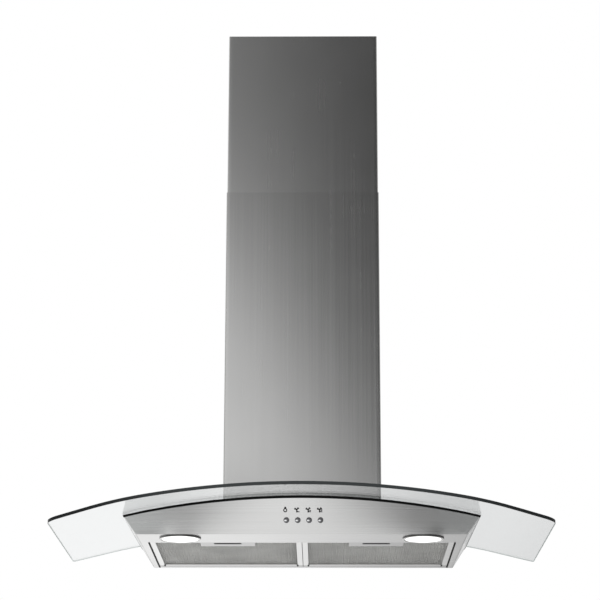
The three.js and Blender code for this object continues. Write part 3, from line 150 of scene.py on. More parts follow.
class Shell:
    """Gathers grids of points into one closed mesh whose faces point outwards."""

    def __init__(self) -> None:
        """Starts with no points."""
        self.points: list[Array] = []
        self.faces: list[Array] = []
        self.slots: list[Array] = []
        self.count = 0

    def add(self, points: Array, faces: Array, slot: int | Array = 0) -> None:
        """Adds points and faces whose indices count from these points.

        Args:
            points: rows of x, y, z in millimetres.
            faces: rows of corner indices.
            slot: the material slot of all faces, or one for each.
        """
        self.points.append(np.asarray(points, float).reshape(-1, 3))
        self.faces.append(np.asarray(faces, int) + self.count)
        self.slots.append(np.broadcast_to(slot, len(faces)).astype(int))
        self.count += len(self.points[-1])

    def patch(self, grid: Array, slot: int = 0) -> None:
        """Adds a grid of rows by columns by 3 as quads between neighbouring points."""
        self.add(grid, grid_quads(*grid.shape[:2]), slot)

    def sheet(self, outer: Array, inner: Array, slot: int = 0) -> None:
        """Adds the closed sheet between two grids of one shape: both faces and the four rims.

        Args:
            outer: grid of the outer face.
            inner: grid of the inner face, point for point.
            slot: the material slot.
        """
        self.patch(outer, slot)
        self.patch(inner, slot)
        for edge in (np.s_[0], np.s_[-1], np.s_[:, 0], np.s_[:, -1]):
            self.patch(np.stack([outer[edge], inner[edge]]), slot)

    def mesh(self, name: str) -> bpy.types.Mesh:
        """Makes the mesh: points that coincide are merged and the normals turned outwards.

        Args:
            name: the mesh's name.

        Returns:
            The mesh, in metres in the row frame.
        """
        made = bpy.data.meshes.new(name)
        points = row_frame(np.concatenate(self.points))
        faces = [row.tolist() for group in self.faces for row in group]
        made.from_pydata(points.tolist(), [], faces)
        made.polygons.foreach_set("material_index", np.concatenate(self.slots))
        settle(made, merge=SEAM_MERGE)
        return made


def settle(mesh: bpy.types.Mesh, merge: float, flatten: bool = False) -> None:
    """Merges coinciding points, drops faces without area and turns the normals outwards.

    Args:
        mesh: the mesh to change.
        merge: merging distance in metres.
        flatten: whether coplanar triangles are joined into larger faces.
    """
    work = bmesh.new()
    work.from_mesh(mesh)
    bmesh.ops.remove_doubles(work, verts=work.verts, dist=merge)
    bmesh.ops.dissolve_degenerate(work, edges=work.edges, dist=merge / 2)
    if flatten:
        bmesh.ops.dissolve_limit(
            work,
            verts=work.verts,
            edges=work.edges,
            angle_limit=math.radians(FLAT),
            delimit={"MATERIAL"},
        )
    bmesh.ops.recalc_face_normals(work, faces=work.faces)
    work.to_mesh(mesh)
    work.free()
    mesh.update()


def project_grain(mesh: bpy.types.Mesh) -> None:
    """Writes the UV map Grain, in metres: each face is seen along the axis that it faces most.

    Faces that look along X get (y, z), along Y (x, z) and along Z (x, y), so that a brushed finish
    can run along either direction of a folded sheet.

    Args:
        mesh: the mesh that gets the map.
    """
    layer = mesh.uv_layers.get("Grain") or mesh.uv_layers.new(name="Grain")
    normals = np.empty(len(mesh.polygons) * 3)
    mesh.polygons.foreach_get("normal", normals)
    facing = np.abs(normals.reshape(-1, 3)).argmax(1)
    totals = np.empty(len(mesh.polygons), int)
    mesh.polygons.foreach_get("loop_total", totals)
    corners = np.empty(len(mesh.loops), int)
    mesh.loops.foreach_get("vertex_index", corners)
    places = np.empty(len(mesh.vertices) * 3)
    mesh.vertices.foreach_get("co", places)
    at = places.reshape(-1, 3)[corners]
    axis = np.repeat(facing, totals)
    along = np.where(axis == 0, at[:, 1], at[:, 0])
    across = np.where(axis == 2, at[:, 1], at[:, 2])
    layer.data.foreach_set("uv", np.stack([along, across], -1).astype(np.float32).ravel())


def finish_piece(
    name: str,
    mesh: bpy.types.Mesh,
    finishes: Sequence[bpy.types.Material],
    berth: Berth,
    crease: float = 34.0,
    bevel: float = 0.0,
    steps: int = 2,
) -> bpy.types.Object:
    """Turns a mesh into a piece that rides on its body.

    Args:
        name: the piece's name.
        mesh: its mesh, in metres in the row frame.
        finishes: one material for each slot.
        berth: where it belongs.
        crease: edges that turn by more than this many degrees stay sharp.
        bevel: width of the rounded edges in millimetres, 0 for none.
        steps: segments of the rounding.

    Returns:
        The object.
    """
    piece = bpy.data.objects.new(name, mesh)
    bpy.context.scene.collection.objects.link(piece)
    slots = np.empty(len(mesh.polygons), np.int32)
    mesh.polygons.foreach_get("material_index", slots)
    mesh.materials.clear()
    for finish in finishes:
        mesh.materials.append(finish)
    mesh.polygons.foreach_set("material_index", slots)
    mesh.shade_smooth()
    mesh.set_sharp_from_angle(angle=math.radians(crease))
    project_grain(mesh)
    if bevel > 0:
        rounding = piece.modifiers.new("edges", "BEVEL")
        rounding.width = bevel * MM
        rounding.segments = steps
        rounding.limit_method = "ANGLE"
        rounding.angle_limit = math.radians(crease)
        rounding.harden_normals = True
    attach(piece, berth.body)
    if berth.stands_for:
        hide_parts(*berth.stands_for)
    LOG.info("%s: %d faces on %s", name, len(mesh.polygons), berth.body)
    return piece


def drill(piece: bpy.types.Object, cutters: Sequence[bpy.types.Object]) -> None:
    """Cuts the cutters out of a piece and deletes them; the piece keeps a plain mesh.

    Args:
        piece: what is cut.
        cutters: closed solids, deleted afterwards.
    """
    for cutter in cutters:
        cut = piece.modifiers.new("cut", "BOOLEAN")
        cut.operation = "DIFFERENCE"
        cut.solver = "EXACT"
        cut.object = cutter
    graph = bpy.context.evaluated_depsgraph_get()
    cut_mesh = bpy.data.meshes.new_from_object(piece.evaluated_get(graph))
    piece.modifiers.clear()
    piece.data = cut_mesh
    for cutter in cutters:
        bpy.data.objects.remove(cutter)


def lathe(
    profile: Array, centre: Sequence[float], axis: Sequence[float], segments: int = 96
) -> Array:
    """A surface of revolution: centre + height * axis + radius * (cosine * side + sine * other).

    Args:
        profile: rows of radius and height.
        centre: a point on the axis.
        axis: its direction.
        segments: spans round the axis.

    Returns:
        A grid of profile points by angles, the last column on the first one.
    """
    ahead = unit(axis)
    side = unit(np.cross(ahead, (0, 0, 1) if abs(ahead[2]) < 0.9 else (1, 0, 0)))
    other = np.cross(ahead, side)
    angle = np.linspace(0, 2 * math.pi, segments + 1)[None, :, None]
    radius, height = (np.asarray(profile, float)[:, k][:, None, None] for k in (0, 1))
    spoke = np.cos(angle) * side + np.sin(angle) * other
    return np.asarray(centre, float) + height * ahead + radius * spoke


def round_profile(
    corners: Sequence[tuple[float, float]], radii: Sequence[float], steps: int = 5
) -> Array:
    """A profile whose corners are rounded: each gives way to a curve between two points beside it.

    The curve is the quadratic one with the corner as its middle control point, so it leaves both
    sides in their own direction.

    Args:
        corners: the profile's corners.
        radii: how far from each corner its rounding begins; 0 keeps the corner.
        steps: spans of a rounding.

    Returns:
        Rows of two coordinates.
    """
    at = np.array(corners, float)
    made: list[Array] = []
    for i, radius in enumerate(radii):
        if radius <= 0 or i in (0, len(at) - 1):
            made.append(at[i : i + 1])
            continue
        before = at[i] + radius * unit(at[i - 1] - at[i])
        after = at[i] + radius * unit(at[i + 1] - at[i])
        t = np.linspace(0, 1, steps + 1)[:, None]
        made.append((1 - t) ** 2 * before + 2 * t * (1 - t) * at[i] + t**2 * after)
    return np.concatenate(made)


def turned(
    name: str,
    profile: Array,
    centre: Sequence[float],
    axis: Sequence[float],
    finishes: Sequence[bpy.types.Material],
    berth: Berth,
    segments: int = 96,
    crease: float = 40.0,
) -> bpy.types.Object:
    """A closed piece of revolution.

    Args:
        name: the piece's name.
        profile: rows of radius and height that start and end on the axis, or close on themselves.
        centre: a point on the axis.
        axis: its direction.
        finishes: one material for each slot.
        berth: where the piece belongs.
        segments: spans round the axis.
        crease: edges that turn by more than this many degrees stay sharp.

    Returns:
        The piece.
    """
    shell = Shell()
    shell.patch(lathe(profile, centre, axis, segments))
    return finish_piece(name, shell.mesh(name), finishes, berth, crease)


def refined(
    node: str,
    finish: bpy.types.Material,
    berth: Berth,
    bevel: float = 0.25,
    crease: float = 34.0,
    steps: int = 2,
) -> bpy.types.Object:
    """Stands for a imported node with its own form: merged, smooth where it is round, edges broken.

    Args:
        node: the node's name.
        finish: its material.
        berth: its body and slot; the node is added to what it stands for.
        bevel: width of the broken edges in millimetres.
        crease: edges that turn by more than this many degrees are edges.
        steps: segments of the rounding.

    Returns:
        The new piece.
    """
    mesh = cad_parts[node].data.copy()
    mesh.name = f"{node}_dressed"
    settle(mesh, merge=NODE_MERGE, flatten=True)
    mesh.polygons.foreach_set("material_index", np.zeros(len(mesh.polygons), int))
    dressed = Berth(berth.body, berth.slot, (node,))
    return finish_piece(f"{node}_dressed", mesh, [finish], dressed, crease, bevel, steps)


# ---- Shader maths --------------------------------------------------------------------


class Signal:
    """A shader socket on which Python's operators add Math nodes."""

    def __init__(self, graph: "Graph", socket: bpy.types.NodeSocket) -> None:
        """Wraps a socket of a graph."""
        self.graph = graph
        self.socket = socket

    def __add__(self, other: "Signal | float") -> "Signal":
        """Sum."""
        return self.graph.math("ADD", self, other)

    def __sub__(self, other: "Signal | float") -> "Signal":
        """Difference."""
        return self.graph.math("SUBTRACT", self, other)

    def __rsub__(self, other: float) -> "Signal":
        """Difference from a number."""
        return self.graph.math("SUBTRACT", other, self)

    def __mul__(self, other: "Signal | float") -> "Signal":
        """Product."""
        return self.graph.math("MULTIPLY", self, other)

    def __truediv__(self, other: "Signal | float") -> "Signal":
        """Quotient."""
        return self.graph.math("DIVIDE", self, other)

    def __rtruediv__(self, other: float) -> "Signal":
        """A number over the value."""
        return self.graph.math("DIVIDE", other, self)

    __radd__ = __add__
    __rmul__ = __mul__

    def most(self, other: "Signal | float") -> "Signal":
        """The larger of two values."""
        return self.graph.math("MAXIMUM", self, other)

    def least(self, other: "Signal | float") -> "Signal":
        """The smaller of two values."""
        return self.graph.math("MINIMUM", self, other)

    def step(self, low: float, high: float) -> "Signal":
        """0 below low, 1 above high and a smooth rise between."""
        settings = {"interpolation_type": "SMOOTHSTEP", "clamp": True}
        inputs = {"Value": self, "From Min": low, "From Max": high}
        node = self.graph.node("ShaderNodeMapRange", settings, inputs)
        return Signal(self.graph, node.outputs["Result"])


class Graph:
    """A material's or world's node tree, emptied, with short ways to add nodes."""

    def __init__(self, owner: bpy.types.Material | bpy.types.World) -> None:
        """Empties the owner's tree and adds its output node."""
        owner.use_nodes = True
        self.tree = owner.node_tree
        self.tree.nodes.clear()
        target = "World" if isinstance(owner, bpy.types.World) else "Material"
        self.output = self.tree.nodes.new(f"ShaderNodeOutput{target}")

    def node(
        self, kind: str, settings: dict | None = None, inputs: dict | None = None
    ) -> bpy.types.Node:
        """Adds a node.

        Args:
            kind: its type.
            settings: its properties, set first.
            inputs: values or signals by socket name or index.

        Returns:
            The node.
        """
        made = self.tree.nodes.new(kind)
        for key, value in (settings or {}).items():
            setattr(made, key, value)
        for key, value in (inputs or {}).items():
            socket = made.inputs[key]
            if isinstance(value, Signal):
                self.tree.links.new(value.socket, socket)
            elif isinstance(value, (tuple, list)) and socket.type == "RGBA":
                socket.default_value = (*value[:3], 1.0)
            else:
                socket.default_value = value
        return made

    def out(self, kind: str, inputs: dict | None = None, output: str | int = 0) -> Signal:
        """One output of a new node that needs no settings."""
        return Signal(self, self.node(kind, inputs=inputs).outputs[output])

    def math(self, operation: str, *values: Signal | float) -> Signal:
        """A Math node on up to three values."""
        node = self.node("ShaderNodeMath", {"operation": operation}, dict(enumerate(values)))
        return Signal(self, node.outputs[0])

    def grain(self) -> tuple[Signal, Signal]:
        """The two coordinates of the UV map Grain, in metres."""
        uv = self.node("ShaderNodeUVMap", {"uv_map": "Grain"}).outputs[0]
        return self.parts(Signal(self, uv))[:2]

    def place(self) -> Signal:
        """Object coordinates."""
        return self.out("ShaderNodeTexCoord", output="Object")

    def parts(self, vector: Signal) -> tuple[Signal, Signal, Signal]:
        """The three components of a vector."""
        node = self.node("ShaderNodeSeparateXYZ", inputs={0: vector})
        return tuple(Signal(self, node.outputs[k]) for k in range(3))

    def vector(self, x: Signal | float, y: Signal | float, z: Signal | float = 0.0) -> Signal:
        """A vector from three values."""
        return self.out("ShaderNodeCombineXYZ", {0: x, 1: y, 2: z})

    def noise(
        self, vector: Signal, scale: float, detail: float = 2.0, rough: float = 0.5
    ) -> Signal:
        """Fractal noise from 0 to 1 with a mean of 0.5."""
        inputs = {"Vector": vector, "Scale": scale, "Detail": detail, "Roughness": rough}
        return self.out("ShaderNodeTexNoise", inputs)

    def cells(self, vector: Signal, scale: float, output: str = "Distance") -> Signal:
        """Voronoi cells: the distance to the nearest centre, or the cell's own colour."""
        return self.out("ShaderNodeTexVoronoi", {"Vector": vector, "Scale": scale}, output)

    def blend(self, share: Signal | float, low: Colour | Signal, high: Colour | Signal) -> Signal:
        """A colour between two colours."""
        node = self.node("ShaderNodeMix", {"data_type": "RGBA"}, {0: share, 6: low, 7: high})
        return Signal(self, node.outputs[2])

    def dimmed(self, tone: Colour, level: Signal) -> Signal:
        """A colour times a level from 0 to 2."""
        return self.blend(level * 0.5, BLACK, tuple(2 * c for c in tone))

    def bump(self, height: Signal, strength: float, distance: float) -> Signal:
        """A normal bent by a height, whose full range stands for a distance in millimetres."""
        inputs = {"Height": height, "Strength": strength, "Distance": distance * MM}
        return self.out("ShaderNodeBump", inputs)

    def principled(self, inputs: dict) -> Signal:
        """The Principled shader."""
        return self.out("ShaderNodeBsdfPrincipled", inputs)

    def mix_shader(self, share: Signal | float, first: Signal, second: Signal) -> Signal:
        """The second shader where share is 1."""
        return self.out("ShaderNodeMixShader", {0: share, 1: first, 2: second})

    def transparent(self, colour: Colour = WHITE) -> Signal:
        """A shader that lets light pass straight."""
        return self.out("ShaderNodeBsdfTransparent", {0: colour})

    def ray(self, kind: str) -> Signal:
        """1 for rays of a kind, such as Is Glossy Ray, and 0 for the others."""
        return self.out("ShaderNodeLightPath", output=kind)

    def glow(self, strength: Signal | float) -> Signal:
        """White light given off."""
        return self.out("ShaderNodeEmission", {"Color": WHITE, "Strength": strength})

    def finish(self, shader: Signal) -> None:
        """Links the shader to the output."""
        self.tree.links.new(shader.socket, self.output.inputs["Surface"])


def new_material(name: str) -> tuple[bpy.types.Material, Graph]:
    """An empty material and its graph."""
    made = bpy.data.materials.new(name)
    return made, Graph(made)


def scaled(tone: Colour, factor: float) -> Colour:
    """A colour times a factor, kept at 1 or below."""
    return tuple(min(1.0, c * factor) for c in tone)


# ---- Finishes ------------------------------------------------------------------------

CLOUD_SCALE = 14.0  # clouds a metre on bare metal
TOOTH_SCALE = 900.0  # and grains of its tooth


class Grain(Enum):
    """Which way a sheet was brushed: along the first or the second coordinate of its UV map."""

    ALONG = 0
    UPRIGHT = 1


@dataclass(frozen=True)
class Finish:
    """A finish with a name of its own: shade() works out its shader, material() builds it."""

    name: str

    def shade(self, graph: Graph) -> Signal:
        """The shader; each finish has its own."""
        raise NotImplementedError

    def material(self) -> bpy.types.Material:
        """Builds the material."""
        made, graph = new_material(self.name)
        graph.finish(self.shade(graph))
        return made


@dataclass(frozen=True)
class Marks:
    """One width of brushing marks, as noise stretched along the grain.

    along and across are waves a metre, weight is its share of the streaks, plane keeps it apart
    from the other widths, and detail and rough are the noise's own.
    """

    along: float
    across: float
    weight: float
    plane: float
    detail: float = 2.0
    rough: float = 0.6


@dataclass(frozen=True)
class BrushedSteel(Finish):
    """Sheet steel brushed in one direction, with fine and broad streaks and a film of handling."""

    grain: Grain
    tone: Colour = (0.60, 0.60, 0.595)
    roughness: float = 0.25
    anisotropy: float = 0.6
    streak: float = 0.13
    relief: float = 0.0018
    fine: Marks = Marks(2.2, 1500.0, 0.2, 0.0)
    middle: Marks = Marks(1.1, 420.0, 0.6, 4.0)
    broad: Marks = Marks(0.8, 60.0, 0.2, 9.0, 1.0, 0.5)

    def shade(self, graph: Graph) -> Signal:
        """Metal whose tone and normal follow the streaks.

        Args:
            graph: the material's graph.

        Returns:
            The shader.
        """
        first, second = graph.grain()
        along, across = (first, second) if self.grain is Grain.ALONG else (second, first)
        fine, middle, broad = (
            graph.noise(
                graph.vector(along * marks.along, across * marks.across, marks.plane),
                1.0,
                marks.detail,
                marks.rough,
            )
            for marks in (self.fine, self.middle, self.broad)
        )
        film = graph.noise(graph.vector(first, second), 9.0, 3.0, 0.55)
        streaks = fine * self.fine.weight + middle * self.middle.weight + broad * self.broad.weight
        level = (streaks - 0.5) * self.streak + 1.0
        inputs = {
            "Base Color": graph.dimmed(self.tone, level),
            "Metallic": 1.0,
            "Roughness": (middle - 0.5) * 0.10 + (film - 0.5) * 0.05 + self.roughness,
            "Anisotropic": self.anisotropy,
            "Anisotropic Rotation": 0.25 if self.grain is Grain.ALONG else 0.0,
            "Normal": graph.bump(streaks, 1.0, self.relief),
        }
        return graph.principled(inputs)


@dataclass(frozen=True)
class PlainMetal(Finish):
    """Metal with a fine tooth and slight clouding: satin aluminium, zinc plate or chrome."""

    tone: Colour
    roughness: float
    clouding: float = 0.06
    tooth: float = 0.006
    tooth_scale: float = TOOTH_SCALE

    def shade(self, graph: Graph) -> Signal:
        """Metal whose tone and roughness follow the clouding.

        Args:
            graph: the material's graph.

        Returns:
            The shader.
        """
        place = graph.place()
        cloud = graph.noise(place, CLOUD_SCALE, 3.0, 0.6)
        tooth = graph.noise(place, self.tooth_scale, 2.0, 0.6)
        dark, light = scaled(self.tone, 1 - self.clouding * 2), scaled(self.tone, 1 + self.clouding)
        inputs = {
            "Base Color": graph.blend(cloud, dark, light),
            "Metallic": 1.0,
            "Roughness": (cloud - 0.5) * self.clouding + (tooth - 0.5) * 0.08 + self.roughness,
            "Normal": graph.bump(tooth, 1.0, self.tooth),
        }
        return graph.principled(inputs)


@dataclass(frozen=True)
class FilterFrame(Finish):
    """The filters' folded aluminium, dimmed on the rear flange by painted shade and darker on the
    latch plate.

    The rear flange lies behind rear_line, and a latch plate before plate_line and within
    plate_half of plate_centre; all four are metres, and soft is half the width of each change.
    """

    name: str = "filter_aluminium"
    tone: Colour = (0.90, 0.90, 0.89)
    # painted shade: the rear flange's colour falls to this share
    rear_shade_share: float = 0.60
    plate_share: float = 0.66
    rear_line: float = -0.0328
    plate_line: float = -0.2485
    plate_centre: float = 0.136
    plate_half: float = 0.050
    soft: float = 0.0004
    roughness: float = 0.34
    clouding: float = 0.12
    tooth: float = 0.006

    def shade(self, graph: Graph) -> Signal:
        """Metal with two darker areas found by their place: painted shade on the rear flange, and
        the latch plate.

        Args:
            graph: the material's graph.

        Returns:
            The shader.
        """
        place = graph.place()
        x, y, _ = graph.parts(place)
        # painted shade on the rear flange behind rear_line
        rear = y.step(self.rear_line - self.soft, self.rear_line + self.soft)
        aside = graph.math("ABSOLUTE", graph.math("ABSOLUTE", x) - self.plate_centre)
        beyond = aside.step(self.plate_half, self.plate_half + self.soft)
        plate = 1.0 - beyond.most(y.step(self.plate_line, self.plate_line + self.soft))
        share = 1.0 - rear * (1.0 - self.rear_shade_share) - plate * (1.0 - self.plate_share)
        cloud = graph.noise(place, CLOUD_SCALE, 3.0, 0.6)
        tooth = graph.noise(place, TOOTH_SCALE, 2.0, 0.6)
        inputs = {
            "Base Color": graph.dimmed(self.tone, share * (1.0 + (cloud - 0.5) * self.clouding)),
            "Metallic": 1.0,
            "Roughness": (cloud - 0.5) * 0.06 + (tooth - 0.5) * 0.08 + self.roughness,
            "Normal": graph.bump(tooth, 1.0, self.tooth),
        }
        return graph.principled(inputs)


@dataclass(frozen=True)
class Galvanised(Finish):
    """Zinc-coated sheet: flat crystals with their own tone and roughness, and a fine tooth."""

    name: str = "galvanised_sheet"
    tone: Colour = (0.56, 0.58, 0.59)
    crystal: float = 90.0
    small_crystal: float = 243.0
    tooth_scale: float = 700.0

    def shade(self, graph: Graph) -> Signal:
        """Metal whose crystals are Voronoi cells of two sizes.

        Args:
            graph: the material's graph.

        Returns:
            The shader.
        """
        place = graph.place()
        broad = graph.cells(place, self.crystal, "Color")
        small = graph.cells(place, self.small_crystal, "Color")
        facet = graph.parts(broad)[0] * 0.6 + graph.parts(small)[1] * 0.4
        tooth = graph.noise(place, self.tooth_scale, 2.0)
        inputs = {
            "Base Color": graph.blend(facet, scaled(self.tone, 0.80), scaled(self.tone, 1.14)),
            "Metallic": 0.9,
            "Roughness": facet * 0.16 + (tooth - 0.5) * 0.08 + 0.36,
            "Normal": graph.bump(facet * 0.5 + tooth * 0.5, 0.8, 0.02),
        }
        return graph.principled(inputs)


@dataclass(frozen=True)
class Moulded(Finish):
    """Moulded plastic or rubber: a spark-eroded texture, a soft sheen and a little dust."""

    tone: Colour
    roughness: float = 0.45
    texture: float = 0.03
    texture_scale: float = 1400.0
    shine: float = 0.5
    dust_scale: float = 25.0
    dust: float = 0.001

    def shade(self, graph: Graph) -> Signal:
        """A plastic whose tone and roughness follow the dust.

        Args:
            graph: the material's graph.

        Returns:
            The shader.
        """
        place = graph.place()
        erosion = graph.noise(place, self.texture_scale, 3.0, 0.65)
        cloud = graph.noise(place, self.dust_scale, 3.0, 0.6)
        light = tuple(c * 1.12 + self.dust for c in self.tone)
        inputs = {
            "Base Color": graph.blend(cloud, scaled(self.tone, 0.88), light),
            "Roughness": (cloud - 0.5) * 0.14 + (erosion - 0.5) * 0.12 + self.roughness,
            "Specular IOR Level": self.shine,
            "Normal": graph.bump(erosion, 0.8, self.texture),
        }
        return graph.principled(inputs)


@dataclass(frozen=True)
class ClearGlass(Finish):
    """Tempered float glass with a breath of green, which casts a light shadow."""

    name: str = "tempered_glass"
    tint: Colour = (0.955, 0.970, 0.972)
    shadow_tint: Colour = (0.88, 0.92, 0.91)
    index: float = 1.20
    smear_scale: float = 6.0

    def shade(self, graph: Graph) -> Signal:
        """Refraction for every ray but shadow and diffuse rays, which pass straight.

        Args:
            graph: the material's graph.

        Returns:
            The shader.
        """
        smear = graph.noise(graph.place(), self.smear_scale, 3.0, 0.6)
        inputs = {
            "Base Color": graph.blend(smear, scaled(self.tint, 0.985), self.tint),
            "Roughness": 0.0,
            "IOR": self.index,
            "Transmission Weight": 1.0,
        }
        passing = graph.ray("Is Shadow Ray").most(graph.ray("Is Diffuse Ray"))
        clear = graph.transparent(self.shadow_tint)
        return graph.mix_shader(passing, graph.principled(inputs), clear)


@dataclass(frozen=True)
class GlassEdge(Finish):
    """Ground and polished edge of the glass, drawn opaque: its dark colour is painted shade and
    reflection for the view into the sheet's width, tinted with the glass's own green.
    """

    tone: Colour = (0.046, 0.051, 0.052)
    roughness: float = 0.30
    shine: float = 0.10
    painted_end_shade: float = 0.6

    def shade(self, graph: Graph) -> Signal:
        """Faint wheel marks along the edge, and painted shade that darkens it towards the sheet's
        ends.

        Args:
            graph: the material's graph.

        Returns:
            The shader.
        """
        x, y, z = graph.parts(graph.place())
        marks = graph.noise(graph.vector(x * 6.0, y * 6.0, z * 900.0), 1.0, 2.0)
        # painted shade: darker towards the sheet's ends
        far = (x * x).step(0.01, 0.16)
        near_tone = graph.blend(marks, self.tone, scaled(self.tone, 1.4))
        inputs = {
            "Base Color": graph.blend(far, near_tone, scaled(self.tone, 1 - self.painted_end_shade)),
            "Roughness": (marks - 0.5) * 0.1 + self.roughness,
            "Specular IOR Level": self.shine,
            "Normal": graph.bump(marks, 0.5, 0.004),
        }
        return graph.principled(inputs)


@dataclass(frozen=True)
class FrostedLens(Finish):
    """Frosted lamp lens, lit from behind, with a fine prismatic tooth."""

    name: str = "frosted_lens"
    glow: float = 0.85
    prism_scale: float = 900.0

    def shade(self, graph: Graph) -> Signal:
        """A white body that gives off light, both a little darker at the prisms' edges.

        Args:
            graph: the material's graph.

        Returns:
            The shader.
        """
        tooth = graph.cells(graph.place(), self.prism_scale)
        inputs = {
            "Base Color": graph.blend(tooth, (0.90, 0.90, 0.88), (0.80, 0.80, 0.79)),
            "Roughness": tooth * 0.15 + 0.32,
            "Emission Color": graph.blend(tooth, (1.0, 1.0, 0.985), (0.93, 0.93, 0.91)),
            "Emission Strength": self.glow,
            "Normal": graph.bump(tooth, 0.5, 0.04),
        }
        return graph.principled(inputs)


class Paintbox:
    """The finishes of the hood, each built once."""

    def __init__(self) -> None:
        """Builds every material."""
        upright = Grain.UPRIGHT
        panel = BrushedSteel("steel_brushed_along", Grain.ALONG, (0.75, 0.75, 0.745), streak=0.26)
        cover = BrushedSteel("steel_brushed_upright", upright, streak=0.26)
        upper_cover = BrushedSteel("steel_upper_cover", upright, (0.65, 0.65, 0.645))
        aluminium = PlainMetal("satin_aluminium", (0.90, 0.90, 0.89), 0.34)
        strands = PlainMetal("expanded_aluminium", (0.82, 0.82, 0.805), 0.38, 0.12)
        zinc = PlainMetal("bright_zinc", (0.62, 0.64, 0.66), 0.30, 0.10)
        chrome = PlainMetal("polished_chrome", (0.86, 0.87, 0.88), 0.10, 0.02, 0.002)
        # dark copy of chrome for the button crowns: painted shade
        shade_chrome = PlainMetal("painted_shade_chrome", (0.13, 0.13, 0.135), 0.16, 0.04, 0.002)
        # dark copy of the bezel's metal for its outer wall: painted shade and reflection
        rim = PlainMetal("painted_shade_rim", (0.20, 0.20, 0.20), 0.30, 0.06, 0.004)
        dark_steel = PlainMetal("motor_steel", (0.38, 0.39, 0.40), 0.40, 0.10)
        rubber = Moulded("black_seal", (0.004, 0.004, 0.004), 0.62, 0.02, shine=0.1)
        black = Moulded("black_moulding", (0.018, 0.018, 0.020))
        grey = Moulded("grey_moulding", (0.20, 0.21, 0.22), 0.5)
        ink = Moulded("printed_ink", (0.012, 0.012, 0.013), 0.6, 0.004, shine=0.2)
        # the side edges get a light opaque colour: painted reflection of the bright view through
        # the glass
        side_edge = GlassEdge("glass_side_edge", (0.62, 0.66, 0.65), 0.20, 0.5, 0.0)
        self.panel = panel.material()
        self.cover = cover.material()
        self.upper_cover = upper_cover.material()
        self.frame = FilterFrame().material()
        self.aluminium = aluminium.material()
        self.strands = strands.material()
        self.zinc = zinc.material()
        self.chrome = chrome.material()
        self.shade_chrome = shade_chrome.material()
        self.rim = rim.material()
        self.dark_steel = dark_steel.material()
        self.galvanised = Galvanised().material()
        self.rubber = rubber.material()
        self.black = black.material()
        self.grey = grey.material()
        self.ink = ink.material()
        self.glass = ClearGlass().material()
        # dark opaque colour of the glass's front edge: painted shade and reflection
        self.edge = GlassEdge("glass_front_edge").material()
        self.side_edge = side_edge.material()
        self.lens = FrostedLens().material()


# ---- The arch that the glass, seal, body and chimney share ---------------------------


@dataclass(frozen=True)
class Arch:
    """Underside of the glass in front view: a crown arc, a tighter shoulder arc and a flat wing."""

    underside: float = 65.4
    crown_radius: float = 2050.0
    crown_half: float = 280.0
    shoulder_radius: float = 900.0
    shoulder_half: float = 370.0

    def sine(self, x: Array) -> Array:
        """Sine of the slope: distance over the crown's radius, then also over the shoulder's."""
        distance = np.abs(x)
        on_crown = np.minimum(distance, self.crown_half)
        on_shoulder = np.clip(distance - self.crown_half, 0, self.shoulder_half - self.crown_half)
        return on_crown / self.crown_radius + on_shoulder / self.shoulder_radius

    def drop(self, x: Array) -> Array:
        """How far the arch has fallen: R(1 - cosine) on each arc, a straight line on the wing.

        Args:
            x: distances from the centreline.

        Returns:
            The drop below the crown at each of them.
        """
        crown_sine, end_sine = self.sine(np.array([self.crown_half, self.shoulder_half]))
        crown_cosine, end_cosine = math.sqrt(1 - crown_sine**2), math.sqrt(1 - end_sine**2)
        sine = self.sine(x)
        crown = self.crown_radius * (1 - np.sqrt(1 - np.minimum(sine, crown_sine) ** 2))
        past_crown = crown_cosine - np.sqrt(1 - np.maximum(sine, crown_sine) ** 2)
        shoulder = self.shoulder_radius * past_crown
        wing = np.maximum(0, np.abs(x) - self.shoulder_half) * end_sine / end_cosine
        return crown + shoulder + wing

    def height(self, x: Array, offset: float = 0.0) -> Array:
        """Height of the surface at an offset along the normal from the glass's underside."""
        return self.underside - self.drop(x) + offset / np.sqrt(1 - self.sine(x) ** 2)


ARCH = Arch()
DECK_TOP = -5.0  # offsets from the glass's underside
GLASS_TOP = 6.0


# ---- Glass canopy --------------------------------------------------------------------


